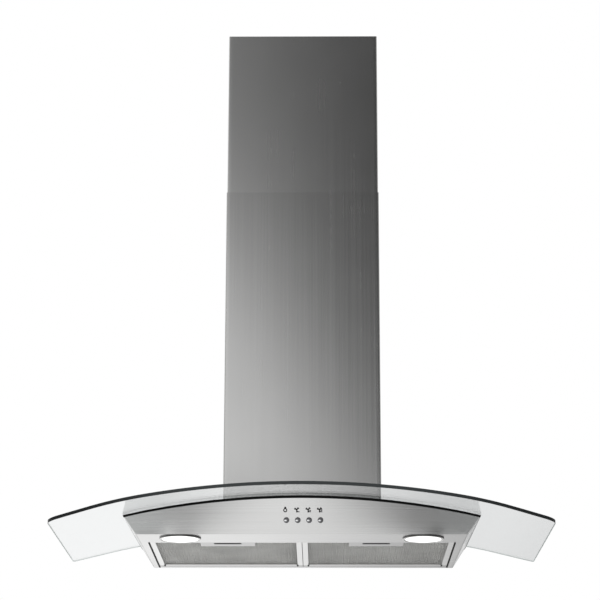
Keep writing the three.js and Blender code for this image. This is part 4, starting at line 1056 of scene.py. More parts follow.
@dataclass
class Canopy:
    """The arched glass with its bowed front edge and rear notch, its seal and its four bolts."""

    paint: Paintbox
    width: float = 898.0
    reach: float = 500.0
    rear_gap: float = 10.0
    bow_radius: float = 1700.0
    front_corner: float = 25.0
    rear_corner: float = 8.0
    notch_half: float = 112.0
    notch_reach: float = 226.0
    notch_corner: float = 12.0
    edge_break: float = 1.2
    bolts: int = 4

    def stations(self) -> Array:
        """Distances from the centreline: even over the middle, closer together at each corner.

        Returns:
            Rising values of x from one side of the glass to the other.
        """
        side = self.width / 2
        corner = np.radians(np.linspace(14, 90, 16))
        half = np.concatenate(
            [
                np.linspace(0, self.notch_half - self.notch_corner, 18),
                self.notch_half - self.notch_corner * np.cos(np.radians(np.linspace(15, 90, 6))),
                np.linspace(self.notch_half, side - self.front_corner, 58)[1:],
                side - self.front_corner + self.front_corner * np.sin(corner),
            ]
        )
        half[-1] = side
        return np.concatenate([-half[:0:-1], half])

    def front(self, x: Array) -> Array:
        """Front edge: y on the bow's circle, or on the corner circle that touches bow and side.

        Args:
            x: distances from the centreline.

        Returns:
            The edge's y at each of them.
        """
        centre = self.bow_radius - self.reach
        corner_x = self.width / 2 - self.front_corner
        corner_y = centre - math.sqrt((self.bow_radius - self.front_corner) ** 2 - corner_x**2)
        bow = centre - np.sqrt(self.bow_radius**2 - x**2)
        touch = corner_x * self.bow_radius / (self.bow_radius - self.front_corner)
        beyond = np.clip(np.abs(x) - corner_x, 0, self.front_corner)
        corner = corner_y - np.sqrt(self.front_corner**2 - beyond**2)
        return np.where(np.abs(x) > touch, corner, bow)

    def rear(self, x: Array) -> Array:
        """Rear edge: a straight line with a rounded corner at each side."""
        beyond = np.clip(np.abs(x) - (self.width / 2 - self.rear_corner), 0, self.rear_corner)
        return -self.rear_gap - self.rear_corner + np.sqrt(self.rear_corner**2 - beyond**2)

    def seam(self, x: Array) -> Array:
        """Line across the notch's bottom, with its rounded corners, that runs on to both sides."""
        inner = self.notch_half - self.notch_corner
        beyond = np.clip(np.abs(x) - inner, 0, self.notch_corner)
        return -(self.notch_reach - self.notch_corner) - np.sqrt(self.notch_corner**2 - beyond**2)

    def build_glass(self) -> None:
        """The glass: a plan of quads in three fields, given its two arched faces and a rim."""
        x = self.stations()
        rows = np.linspace(0, 1, 22)[:, None]
        fields = [(x, self.front(x), self.seam(x))]
        for side in (-1, 1):
            beside = x[side * x >= self.notch_half - 1e-6]
            fields.append((beside, self.seam(beside), self.rear(beside)))
        plan_points, plan_quads, count = [], [], 0
        for across, start, end in fields:
            grid = np.dstack(np.broadcast_arrays(across, start + (end - start) * rows))
            plan_points.append(grid.reshape(-1, 2))
            plan_quads.append(grid_quads(*grid.shape[:2]) + count)
            count += len(plan_points[-1])
        points, quads = self.merge(np.concatenate(plan_points), np.concatenate(plan_quads))
        low = np.column_stack([points, ARCH.height(points[:, 0])])
        high = np.column_stack([points, ARCH.height(points[:, 0], GLASS_TOP)])
        edges = np.sort(np.stack([quads, np.roll(quads, -1, 1)], -1).reshape(-1, 2), 1)
        unique, uses = np.unique(edges, axis=0, return_counts=True)
        rim = unique[uses == 1]
        middle = points[rim].mean(1)
        corner_end = self.front(np.array([self.width / 2]))[0]
        # front rim quads take the dark edge colour, painted shade, and the others the light one,
        # painted reflection
        ahead = middle[:, 1] < corner_end + 1.0
        rim_quads = np.column_stack([rim, rim[:, ::-1] + len(points)])
        shell = Shell()
        faces = np.concatenate([quads, quads[:, ::-1] + len(points), rim_quads])
        slots = np.concatenate([np.zeros(2 * len(quads), int), np.where(ahead, 1, 2)])
        shell.add(np.concatenate([low, high]), faces, slots)
        mesh = shell.mesh("glass_sheet")
        finishes = [self.paint.glass, self.paint.edge, self.paint.side_edge]
        berth = Berth("hood", "glass", ("glass_canopy",))
        finish_piece("glass_sheet", mesh, finishes, berth, 40.0, self.edge_break, 3)

    @staticmethod
    def merge(points: Array, quads: Array) -> tuple[Array, Array]:
        """Joins plan points that coincide, and drops quads that have lost a side by it.

        Args:
            points: rows of x and y.
            quads: rows of four indices.

        Returns:
            The points and the quads that are left.
        """
        rounded = np.round(points, 3)
        _, first, back = np.unique(rounded, axis=0, return_index=True, return_inverse=True)
        quads = back.reshape(-1)[quads]
        whole = np.array([len(set(quad)) == 4 for quad in quads.tolist()])
        return points[first], quads[whole]

    def build(self) -> None:
        """Builds the glass, its seal and the bolts that clamp it."""
        self.build_glass()
        refined("glass_gasket", self.paint.rubber, Berth("hood", "rubber"), bevel=0.5)
        for number in range(1, self.bolts + 1):
            refined(f"glass_bolt_{number}", self.paint.zinc, Berth("hood", "chrome"), bevel=0.4)


# ---- Steel body ----------------------------------------------------------------------


@dataclass
class Body:
    """The folded front panel and side walls, the underside plate, the deck and the wall hooks."""

    paint: Paintbox
    bottom_width: float = 595.0
    top_width: float = 642.0
    bottom_reach: float = 374.0
    top_reach: float = 401.0
    bow_radius: float = 1080.0
    corner: float = 4.0
    side_taper: float = 6.0
    drill_half: float = 6.0

    def top_reach_at(self, x: Array) -> Array:
        """Reach of the bowed upper edge: a circle's arc about the centreline."""
        return self.top_reach - self.bow_radius + np.sqrt(self.bow_radius**2 - np.square(x))

    def level(self, width: float, reach_at: Callable[[Array], Array], inset: float) -> Array:
        """Plan of one level: side wall, rounded corner, front, corner and side wall.

        The side walls close in on their way to the wall: x times
        1 - 2 * taper / width * (1 - reach / end).

        Args:
            width: the level's full width.
            reach_at: its front edge's reach at a distance from the centreline.
            inset: how far it is drawn in.

        Returns:
            Rows of x and reach.
        """
        radius = self.corner - inset
        straight = width / 2 - self.corner
        angle = np.radians(np.linspace(0, 90, 9))
        front_x = np.linspace(-straight, straight, 121)
        front = np.stack([front_x, reach_at(front_x) - inset], -1)
        end = float(reach_at(np.array([straight]))[0]) - inset
        bend = np.stack([straight + radius * np.sin(angle), end - radius * (1 - np.cos(angle))], -1)
        wall_reach = np.linspace(bend[-1, 1], GAP, 24)[1:]
        left_over = 1 - 2 * self.side_taper / self.bottom_width * (1 - wall_reach / bend[-1, 1])
        wall = np.stack([bend[-1, 0] * left_over, wall_reach], -1)
        right = np.concatenate([bend[1:], wall])
        left = right[::-1] * (-1, 1)
        return np.concatenate([left, front, right])

    def face(self, inset: float) -> Array:
        """Grid of the panel and walls: straight lines from the lower edge to the bowed one.

        Args:
            inset: how far the grid is drawn in from the outer face.

        Returns:
            A grid of heights by stations round the body.
        """
        bottom = self.level(self.bottom_width, lambda x: np.full_like(x, self.bottom_reach), inset)
        top = self.level(self.top_width, self.top_reach_at, inset)
        low = np.column_stack([bottom[:, 0], -bottom[:, 1], np.zeros(len(bottom))])
        high = np.column_stack([top[:, 0], -top[:, 1], ARCH.height(top[:, 0], DECK_TOP)])
        share = np.linspace(0, 1, 15)[:, None, None]
        return low + (high - low) * share

    def on_panel(self, x: Array, height: Array, proud: float) -> Array:
        """Points on the front panel near its middle.

        Args:
            x: distances from the centreline.
            height: heights above the underside.
            proud: how far the points stand out of the panel.

        Returns:
            Rows of x, y, z.
        """
        share = height / ARCH.height(x, DECK_TOP)
        low, high = self.bottom_width / 2 - self.corner, self.top_width / 2 - self.corner
        station = x / (low + (high - low) * share)
        reach = self.bottom_reach + (self.top_reach_at(station * high) - self.bottom_reach) * share
        out = self.normal()
        return np.stack([x, -reach + proud * out[1], height + proud * out[2]], -1)

    def normal(self) -> Array:
        """Outward normal of the panel at the centreline."""
        lean = math.atan2(self.top_reach - self.bottom_reach, ARCH.underside + DECK_TOP)
        return np.array([0.0, -math.cos(lean), -math.sin(lean)])

    def build(self, button_holes: Sequence[Array], hole_radius: float) -> None:
        """Builds the body.

        Args:
            button_holes: where the button axes pass the panel.
            hole_radius: radius of those holes.
        """
        shell = Shell()
        shell.sheet(self.face(0.0), self.face(SHEET))
        berth = Berth("hood", "brushed_steel", ("body_skirt",))
        mesh = shell.mesh("front_panel")
        panel = finish_piece("front_panel_and_walls", mesh, [self.paint.panel], berth)
        cutters = []
        for at in button_holes:
            plug = Shell()
            half = self.drill_half
            profile = [(0, -half), (hole_radius, -half), (hole_radius, half), (0, half)]
            plug.patch(lathe(np.array(profile, float), at, self.normal(), 48))
            cutter = bpy.data.objects.new("button_hole", plug.mesh("button_hole"))
            bpy.context.scene.collection.objects.link(cutter)
            cutters.append(cutter)
        drill(panel, cutters)
        refined("underside_frame", self.paint.panel, Berth("hood", "brushed_steel"), bevel=0.3)
        zinc_sheet = Berth("hood", "galvanised")
        refined("deck_and_back", self.paint.galvanised, zinc_sheet, bevel=0.3)
        for _, side in SIDES:
            refined(f"wall_hook_{side}", self.paint.galvanised, zinc_sheet, bevel=0.5)


# ---- Controls ------------------------------------------------------------------------


class Symbol(Enum):
    """What the printed symbol over a button shows."""

    LAMP = "light"
    LOW = "speed_low"
    MEDIUM = "speed_medium"
    HIGH = "speed_high"


@dataclass
class Controls:
    """Four domed push buttons, their printed symbols and the switch block behind them."""

    paint: Paintbox
    body: Body
    height: float = 23.5
    radius: float = 4.9
    clearance: float = 0.3
    proud: float = 2.4
    rounding: float = 0.6
    highlight_oval: tuple[float, float] = (2.6, 1.45)
    highlight_shift: float = 1.6
    highlight_proud: float = 0.18
    flange_radius: float = 6.4
    flange: float = 1.5
    stem_radius: float = 2.2
    stem: float = 8.6
    symbol_height: float = 40.0
    symbol_lead: float = 1.8
    ink: float = 0.06

    def places(self) -> list[Array]:
        """Points on the panel's outer face where the button axes pass."""
        found = []
        for symbol in Symbol:
            low, high = node_box(f"button_{symbol.value}")
            x = (low[0] + high[0]) / 2
            lean = -self.body.normal()[2] / -self.body.normal()[1]
            found.append(np.array([x, -self.body.bottom_reach - self.height * lean, self.height]))
        return found

    def build_button(self, symbol: Symbol, at: Array) -> None:
        """A button: a crown in a dark copy of chrome, painted shade, with a bright chrome oval set
        to the left as a painted highlight, a flange behind the panel and a stem.

        The highlight oval's height is proud + bulge * (1 - share squared) on rings from its middle
        outwards.

        Args:
            symbol: which button.
            at: where its axis passes the panel's outer face.
        """
        behind = SHEET + GAP
        back = behind + self.flange
        edge, top = (self.radius, 0.4), (self.radius, self.proud)
        crown = round_profile([edge, top, (0.0, self.proud)], [0, self.rounding, 0], 8)
        lower = [
            (0, -back - self.stem),
            (self.stem_radius, -back - self.stem),
            (self.stem_radius, -back),
            (self.flange_radius, -back),
            (self.flange_radius, -behind),
            (self.radius, -behind),
        ]
        shell = Shell()
        normal = self.body.normal()
        shell.patch(lathe(np.concatenate([np.array(lower, float), crown]), at, normal, 64), 0)
        # painted highlight: a bright chrome oval set off to the left on the dark crown
        turn = np.linspace(0, 2 * math.pi, 49)
        ring = self.highlight_oval[0] * np.cos(turn)[:, None] * np.array([1.0, 0, 0])
        ring = ring + self.highlight_oval[1] * np.sin(turn)[:, None] * unit(np.cross(normal, (1.0, 0, 0)))
        share = np.concatenate([np.linspace(0, 1, 8), [1.0, 0.0]])[:, None, None]
        rise = self.proud + self.highlight_proud * (1 - share**2)
        rise[-2:] = self.proud - 0.2
        middle = at - (self.highlight_shift, 0, 0)
        shell.patch(middle + ring[None] * share + unit(normal) * rise, 1)
        berth = Berth(f"button_{symbol.value}", "chrome", (f"button_{symbol.value}",))
        name = f"push_{symbol.value}"
        finish_piece(name, shell.mesh(name), [self.paint.shade_chrome, self.paint.chrome], berth, 40.0)

    def plate(self, shell: Shell, outline: Array, holes_in: Array | None = None) -> None:
        """Adds one printed patch: a ring between two outlines, or a fan about its middle.

        Args:
            shell: the shell that gathers the symbol.
            outline: rows of x and height, in order round the patch.
            holes_in: the inner outline, point for point, or None for a full patch.
        """
        outer = np.vstack([outline, outline[:1]])
        inner = np.zeros_like(outer) + outline.mean(0)
        if holes_in is not None:
            inner = np.vstack([holes_in, holes_in[:1]])
        rings = np.stack([outer, inner])
        front = self.body.on_panel(rings[..., 0], rings[..., 1], self.ink)
        back = self.body.on_panel(rings[..., 0], rings[..., 1], 0.01)
        shell.patch(front)
        shell.patch(back)
        shell.patch(np.stack([front[0], back[0]]))
        if holes_in is not None:
            shell.patch(np.stack([front[1], back[1]]))

    def build_symbol(self, symbol: Symbol, x: float) -> None:
        """A printed symbol: a hanging bulb, or a three-bladed fan with a bar for each speed step.

        Args:
            symbol: what it shows.
            x: the place of the button below it.
        """
        shell = Shell()
        centre = np.array([x - self.symbol_lead, self.symbol_height])
        if symbol is Symbol.LAMP:
            middle = centre + (-0.2, 0.1)
            bulb = arc_points(middle, 3.6, 60, 420, 36)[:-1]
            self.plate(shell, bulb, middle + (bulb - middle) * 0.50)
            self.plate(shell, middle + np.array([(-2.0, 2.4), (2.0, 2.4), (1.4, 5.8), (-1.4, 5.8)]))
        else:
            middle = centre + (0.0, 1.1)
            for turn in (152, 40, 276):
                root = arc_points(middle, 1.0, turn - 55, turn + 45, 4)
                tip = arc_points(middle, 4.7, turn + 27, turn - 21, 8)
                self.plate(shell, np.vstack([root, tip]))
            self.plate(shell, arc_points(middle, 1.6, 0, 330, 11))
            for k in range(list(Symbol).index(symbol)):
                left = middle + (2.1, -4.4 + 2.1 * k)
                self.plate(shell, left + np.array([(0, 0), (3.0, 0), (3.0, 1.5), (0, 1.5)]))
        name = f"symbol_{symbol.value}"
        finish_piece(name, shell.mesh(name), [self.paint.ink], Berth("hood", "black_plastic"), 30.0)

    def build(self) -> None:
        """Builds the buttons, the symbols and the switch block."""
        for symbol, at in zip(Symbol, self.places()):
            self.build_button(symbol, at)
            self.build_symbol(symbol, float(at[0]))
        refined("switch_block", self.paint.black, Berth("hood", "black_plastic"), bevel=0.5)


# ---- Lamps ---------------------------------------------------------------------------


@dataclass
class Lamps:
    """Two round lamps: a bezel pressed into the underside, a frosted dome and the holder behind."""

    paint: Paintbox
    rim_radius: float = 37.5
    rim_drop: float = 3.0
    rim_width: float = 2.2
    neck_radius: float = 33.2
    neck_height: float = 6.0
    neck_wall: float = 1.5
    shelf: float = 0.9
    lens_edge: float = 0.8
    dome: float = 1.1
    lit_radius: float = 30.5

    @staticmethod
    def round_piece(
        name: str,
        fields: Sequence[tuple[Array, int]],
        at: Sequence[float],
        finishes: Sequence[bpy.types.Material],
        berth: Berth,
    ) -> None:
        """A turned piece whose profile is split into fields, each with a finish of its own.

        Args:
            name: the piece's name.
            fields: parts of the profile, each with its finish's number.
            at: where the axis meets the underside.
            finishes: the finishes.
            berth: what the piece rides on and stands for.
        """
        shell = Shell()
        for profile, slot in fields:
            shell.patch(lathe(profile, at, (0.0, 0.0, 1.0), 128), slot)
        finish_piece(name, shell.mesh(name), finishes, berth, 40.0)

    def build(self) -> None:
        """Builds both lamps.

        The dome's height below the shelf is dome * (1 - share squared); share is the radius over
        the lens's own.
        """
        paint = self.paint
        shelf = -GAP - self.shelf
        lens_radius = self.rim_radius - self.rim_width
        neck_inside = self.neck_radius - self.neck_wall
        bezel = round_profile(
            [
                (lens_radius, shelf),
                (lens_radius, -self.rim_drop),
                (self.rim_radius, -self.rim_drop),
                (self.rim_radius, -GAP),
                (self.neck_radius, -GAP),
                (self.neck_radius, self.neck_height),
                (neck_inside, self.neck_height),
                (neck_inside, shelf),
                (lens_radius, shelf),
            ],
            [0, 0.5, 0.9, 0.3, 0, 0.3, 0.3, 0, 0],
        )
        share = np.linspace(0, 1, 14)[:, None]
        radius = lens_radius - GAP
        edge = shelf - GAP - self.lens_edge
        dome = np.column_stack([radius * share, edge - self.dome * (1 - share**2)])
        back = np.array([(radius, shelf - GAP), (0, shelf - GAP)])
        lit = np.searchsorted(dome[:, 0], self.lit_radius)
        # the bezel's outer wall gets the dark rim colour: painted shade
        wall = np.flatnonzero((bezel[:, 0] > self.rim_radius - 0.3) & (bezel[:, 1] < 0))
        first, last = wall[0], wall[-1] + 1
        for _, side in SIDES:
            low, high = node_box(f"lamp_bezel_{side}")
            at = ((low[0] + high[0]) / 2, (low[1] + high[1]) / 2, 0.0)
            rim = Berth("hood", "chrome", (f"lamp_bezel_{side}",))
            fields = [(bezel[: first + 1], 0), (bezel[first:last], 1), (bezel[last - 1 :], 0)]
            self.round_piece(f"lamp_rim_{side}", fields, at, [paint.aluminium, paint.rim], rim)
            glow = Berth("hood", "lens", (f"lamp_lens_{side}",))
            fields = [(dome[: lit + 1], 0), (np.vstack([dome[lit:], back]), 1)]
            self.round_piece(f"lamp_dome_{side}", fields, at, [paint.lens, paint.aluminium], glow)
            refined(f"lamp_holder_{side}", paint.grey, Berth("hood", "grey_plastic"), bevel=0.4)


# ---- Grease filters ------------------------------------------------------------------


@dataclass
class Filters:
    """Two grease filters: a folded edge frame, expanded aluminium in layers and a sprung latch."""

    paint: Paintbox
    strand_pitch: float = 4.0
    strand_length: float = 8.5
    strand_width: float = 0.62
    strand_depth: float = 0.5
    layers: tuple[float, ...] = (1.75, 3.1)
    backing_pitch: float = 6.0
    backing_wave: float = 1.1
    backing: float = 0.8
    latch_centre: float = 136.0
    latch_half: float = 36.0
    latch_rear: float = -254.5
    latch_top: float = 2.6
    # the gap strip below is painted shade: black rubber for the dark gap
    filter_edge_gap: float = 2.0
    gap_shade_foot: float = -0.7
    gap_shade_lip: float = 1.3
    gap_shade_top: float = 7.0
    gap_shade_play: float = 0.05
    window_rear: float = -32.0
    window_inset: float = 10.0
    hem_foot: float = 1.05
    hem_top: float = 5.4
    hem_sheet: float = 0.8
    # black plugs in the corner notches below are painted shade
    notch_shade_radius: float = 1.6
    notch_shade_top: float = 0.9
    notch_shade_drop: float = 1.9

    def strands(self, shell: Shell, low: Array, high: Array, level: float, shift: float) -> None:
        """One layer of expanded metal.

        Each strand runs from front to rear as a triangle wave, x = column + amplitude *
        triangle(y / length), neighbours in opposite phase so that they meet at the knots, and has
        a rectangular section. Strands below the latch's top start behind the latch.

        Args:
            shell: gathers the layer.
            low: lowest corner of the filter's inside.
            high: highest corner.
            level: height of the layer.
            shift: share of a pitch by which the layer is displaced.
        """
        half = self.strand_pitch / 2
        reach = np.arange(low[1], high[1], self.strand_length / 4)
        columns = np.arange(low[0] + half, high[0] - half, self.strand_pitch) + shift * half
        columns = columns[columns < high[0] - half]
        phase = (np.arange(len(columns)) % 2)[:, None]
        over_latch = np.abs(np.abs(columns) - self.latch_centre) < self.latch_half
        held_back = over_latch & (level < self.latch_top)
        start = np.where(held_back, self.latch_rear, low[1])[:, None]
        y = np.maximum(reach[None, :], start)
        turns = (y - low[1]) / self.strand_length + shift * 0.37
        wave = np.abs(((turns + phase / 2) % 1.0) * 4 - 2) - 1
        x = columns[:, None] + half * 0.92 * wave
        twist = 0.35 * wave
        section = np.array([(-1, -1), (1, -1), (1, 1), (-1, 1)])
        offsets = section * (self.strand_width / 2, self.strand_depth / 2)
        ring = np.stack(
            [np.stack([x + dx, y, level + dz + twist * dx], -1) for dx, dz in offsets], -2
        )
        count = ring.shape[1]
        starts = np.arange(len(columns))[:, None] * count * 4
        base = starts[..., None] + np.arange(count - 1)[None, :, None] * 4
        k = np.arange(4)
        after = (k + 1) % 4
        quads = np.stack([base + k, base + after, base + 4 + after, base + 4 + k], -1)
        caps = np.concatenate([starts + k[::-1], starts + (count - 1) * 4 + k])
        shell.add(ring.reshape(-1, 3), np.concatenate([quads.reshape(-1, 4), caps]))

    def build_mesh(self, side: str) -> None:
        """The pack: two layers of expanded metal below a backing corrugated as a sine wave.

        Args:
            side: the side's name.
        """
        low, high = node_box(f"filter_mesh_{side}")
        shell = Shell()
        for k, level in enumerate(self.layers):
            self.strands(shell, low + (0.5, 0.5, 0), high - (0.5, 0.5, 0), level, float(k))
        x = np.arange(low[0] + 0.5, high[0] - 0.4, self.backing_pitch / 8)
        middle = high[2] - self.backing_wave - self.backing - 0.3
        wave = middle + self.backing_wave * np.sin(2 * math.pi * x / self.backing_pitch)
        y = np.array([low[1] + 0.5, high[1] - 0.5])[:, None]
        under = np.dstack(np.broadcast_arrays(x, y, wave))
        shell.sheet(under, under + (0, 0, self.backing))
        berth = Berth(f"filter_{side}", "aluminium", (f"filter_mesh_{side}",))
        name = f"mesh_pack_{side}"
        finish_piece(name, shell.mesh(name), [self.paint.strands], berth, 30.0)

    def build_gap_shade(self, sign: int, side: str) -> None:
        """A black strip in the gap between a filter's outer edge and the underside plate: painted
        shade for the dark gap.

        Its section is a strip whose lip laps the fixed plate, carried from front to rear.

        Args:
            sign: -1 for the left filter, 1 for the right one.
            side: the side's name.
        """
        low, high = node_box(f"filter_frame_{side}")
        outer = (high if sign > 0 else low)[0] + sign * (self.filter_edge_gap / 2)
        half = self.filter_edge_gap / 2 - self.gap_shade_play
        lip, foot, top = half + self.gap_shade_lip, self.gap_shade_foot, self.gap_shade_top
        section = round_profile(
            [
                (0.0, top),
                (-half, top),
                (-half, foot),
                (lip, foot),
                (lip, -GAP),
                (half, -GAP),
                (half, top),
                (0.0, top),
            ],
            [0, 0, 0.25, 0.25, 0.15, 0, 0, 0],
        )
        y = np.linspace(low[1] + 0.5, high[1] - 0.5, 12)[:, None]
        grid = np.dstack(
            np.broadcast_arrays(outer + sign * section[None, :, 0], y, section[None, :, 1])
        )
        shell = Shell()
        shell.patch(grid)
        ring = np.arange(len(section) - 1)
        for end in (grid[0, :-1], grid[-1, :-1]):
            shell.add(end, ring[None, :])
        name = f"filter_gap_shade_{side}"
        finish_piece(name, shell.mesh(name), [self.paint.rubber], Berth("hood", "rubber"), 40.0)

    def build_hem(self, side: str) -> None:
        """The turned-up strip behind the window, and two black plugs in its corner notches: painted
        shade for the dark notches.

        Args:
            side: the side's name.
        """
        low, high = node_box(f"filter_frame_{side}")
        y, foot, top = self.window_rear, self.hem_foot, self.hem_top
        rear = y + self.hem_sheet
        section = np.array([(y, foot), (y, top), (rear, top), (rear, foot), (y, foot)])
        ends = np.array([low[0] + self.window_inset, high[0] - self.window_inset])
        grid = np.dstack(np.broadcast_arrays(ends[:, None], section[:, 0], section[:, 1]))
        shell = Shell()
        shell.patch(grid)
        for end in grid[:, :-1]:
            shell.add(end, np.arange(len(end))[None, :])
        name = f"filter_hem_{side}"
        metal, rubber = (Berth(f"filter_{side}", slot) for slot in ("aluminium", "rubber"))
        finish_piece(name, shell.mesh(name), [self.paint.strands], metal, 40.0)
        # painted shade: black plugs fill the window's rear corner notches
        radius, top, drop = self.notch_shade_radius, self.notch_shade_top, -self.notch_shade_drop
        foot = round_profile([(0, top), (radius, top), (radius, drop), (0, drop)], [0, 0.2, 0.6, 0])
        for end, x in zip(("outer", "inner") if side == "left" else ("inner", "outer"), ends):
            name = f"filter_notch_shade_{side}_{end}"
            turned(name, foot, (x, y, 0.0), (0.0, 0.0, 1.0), [self.paint.rubber], rubber, 24)

    def build(self) -> None:
        """Builds both filters."""
        for sign, side in SIDES:
            self.build_gap_shade(sign, side)
            self.build_hem(side)
            self.build_mesh(side)
            frame_berth = Berth(f"filter_{side}", "aluminium")
            latch_berth = Berth(f"latch_{side}", "black_plastic")
            refined(f"filter_frame_{side}", self.paint.frame, frame_berth, bevel=0.3)
            refined(f"filter_latch_{side}", self.paint.black, latch_berth, bevel=0.3)


# ---- Chimney -------------------------------------------------------------------------


@dataclass
class Chimney:
    """The two telescoping covers, the wall bracket and its screws."""

    paint: Paintbox
    sheet: float = 0.8
    bend: float = 2.5
    lip: float = 15.0
    upper_rear: float = 3.0

    def outline(self, half: float, reach: float, rear: float, inset: float, lip: float) -> Array:
        """Plan of a cover: rear lip, side, bend, front, bend, side and lip, drawn in by an inset.

        Args:
            half: half the outer width.
            reach: wall to the front face.
            rear: wall to the rear edges.
            inset: 0 for the outer face, the sheet for the inner one.
            lip: length of the inward lips at the wall, 0 for none.

        Returns:
            Rows of x and y.
        """
        radius = self.bend - inset
        front = arc_points((half - self.bend, -reach + self.bend), radius, -90, 0, 8)
        flat = np.linspace(0, half - self.bend, 24)[:-1]
        parts = [np.stack([flat, np.full_like(flat, inset - reach)], -1), front]
        if lip > 0:
            back = arc_points((half - self.bend, -rear - self.bend), radius, 0, 90, 8)
            side = np.linspace(front[-1, 1], back[0, 1], 16)[1:-1]
            inward = np.linspace(half - self.bend, half - lip, 4)[1:]
            parts += [np.stack([np.full_like(side, half - inset), side], -1), back]
            parts.append(np.stack([inward, np.full_like(inward, -rear - inset)], -1))
        else:
            side = np.linspace(front[-1, 1], -rear, 17)[1:]
            parts.append(np.stack([np.full_like(side, half - inset), side], -1))
        right = np.concatenate(parts)
        return np.concatenate([right[:0:-1] * (-1, 1), right])

    def cover(self, name: str, node: str, body: str, rear: float, lip: float) -> bpy.types.Object:
        """A bent cover between its foot and its top.

        Args:
            name: the piece's name.
            node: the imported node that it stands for.
            body: the body that carries it.
            rear: wall to the rear edges.
            lip: length of its rear lips; only the cover that has them stands on the arched glass.

        Returns:
            The piece.
        """
        low, high = node_box(node)
        half, reach = high[0], -low[1]
        faces = []
        for inset in (0.0, self.sheet):
            plan = self.outline(half, reach, rear, inset, lip)
            foot = np.full(len(plan), low[2])
            if lip > 0:
                foot = ARCH.height(plan[:, 0], GLASS_TOP + GAP)
            share = np.linspace(0, 1, 25)[:, None]
            height = foot + (high[2] - foot) * share
            faces.append(np.dstack([*np.broadcast_arrays(plan[:, 0], plan[:, 1], height)]))
        shell = Shell()
        shell.sheet(*faces)
        berth = Berth(body, "brushed_steel", (node,))
        finish = self.paint.cover if lip > 0 else self.paint.upper_cover
        return finish_piece(name, shell.mesh(name), [finish], berth)

    def build(self) -> None:
        """Builds the covers, bracket and screws."""
        self.cover("lower_cover", "lower_chimney", "hood", GAP, self.lip)
        self.cover("upper_cover", "upper_chimney", "upper_chimney", self.upper_rear, 0.0)
        plated, bright = (Berth("upper_chimney", slot) for slot in ("galvanised", "chrome"))
        refined("chimney_bracket", self.paint.galvanised, plated, bevel=0.3)
        for _, side in SIDES:
            refined(f"chimney_screw_{side}", self.paint.zinc, bright, bevel=0.4)


# ---- Blower --------------------------------------------------------------------------


@dataclass
class Blower:
    """What the chimney hides: box, scroll, impeller, motor, outlet, flaps and the electrics."""

    paint: Paintbox

    def build(self) -> None:
        """Dresses the machinery."""
        paint = self.paint
        plans = (
            ("blower_box", paint.galvanised, "hood", "galvanised", 0.3),
            ("scroll_casing", paint.black, "hood", "black_plastic", 0.4),
            ("scroll_cover", paint.black, "hood", "black_plastic", 0.4),
            ("impeller", paint.grey, "impeller", "grey_plastic", 0.2),
            ("motor", paint.dark_steel, "hood", "dark_steel", 0.8),
            ("motor_shaft", paint.dark_steel, "impeller", "dark_steel", 0.4),
            ("outlet_collar", paint.black, "hood", "black_plastic", 0.4),
            ("damper_flap_left", paint.black, "damper_left", "black_plastic", 0.2),
            ("damper_flap_right", paint.black, "damper_right", "black_plastic", 0.2),
            ("damper_pin", paint.dark_steel, "hood", "dark_steel", 0.2),
            ("control_box", paint.black, "hood", "black_plastic", 1.2),
            ("run_capacitor", paint.grey, "hood", "grey_plastic", 1.0),
            ("cable_gland", paint.black, "hood", "black_plastic", 0.4),
        )
        for node, finish, body, slot, bevel in plans:
            refined(node, finish, Berth(body, slot), bevel=bevel)


# ---- Studio --------------------------------------------------------------------------


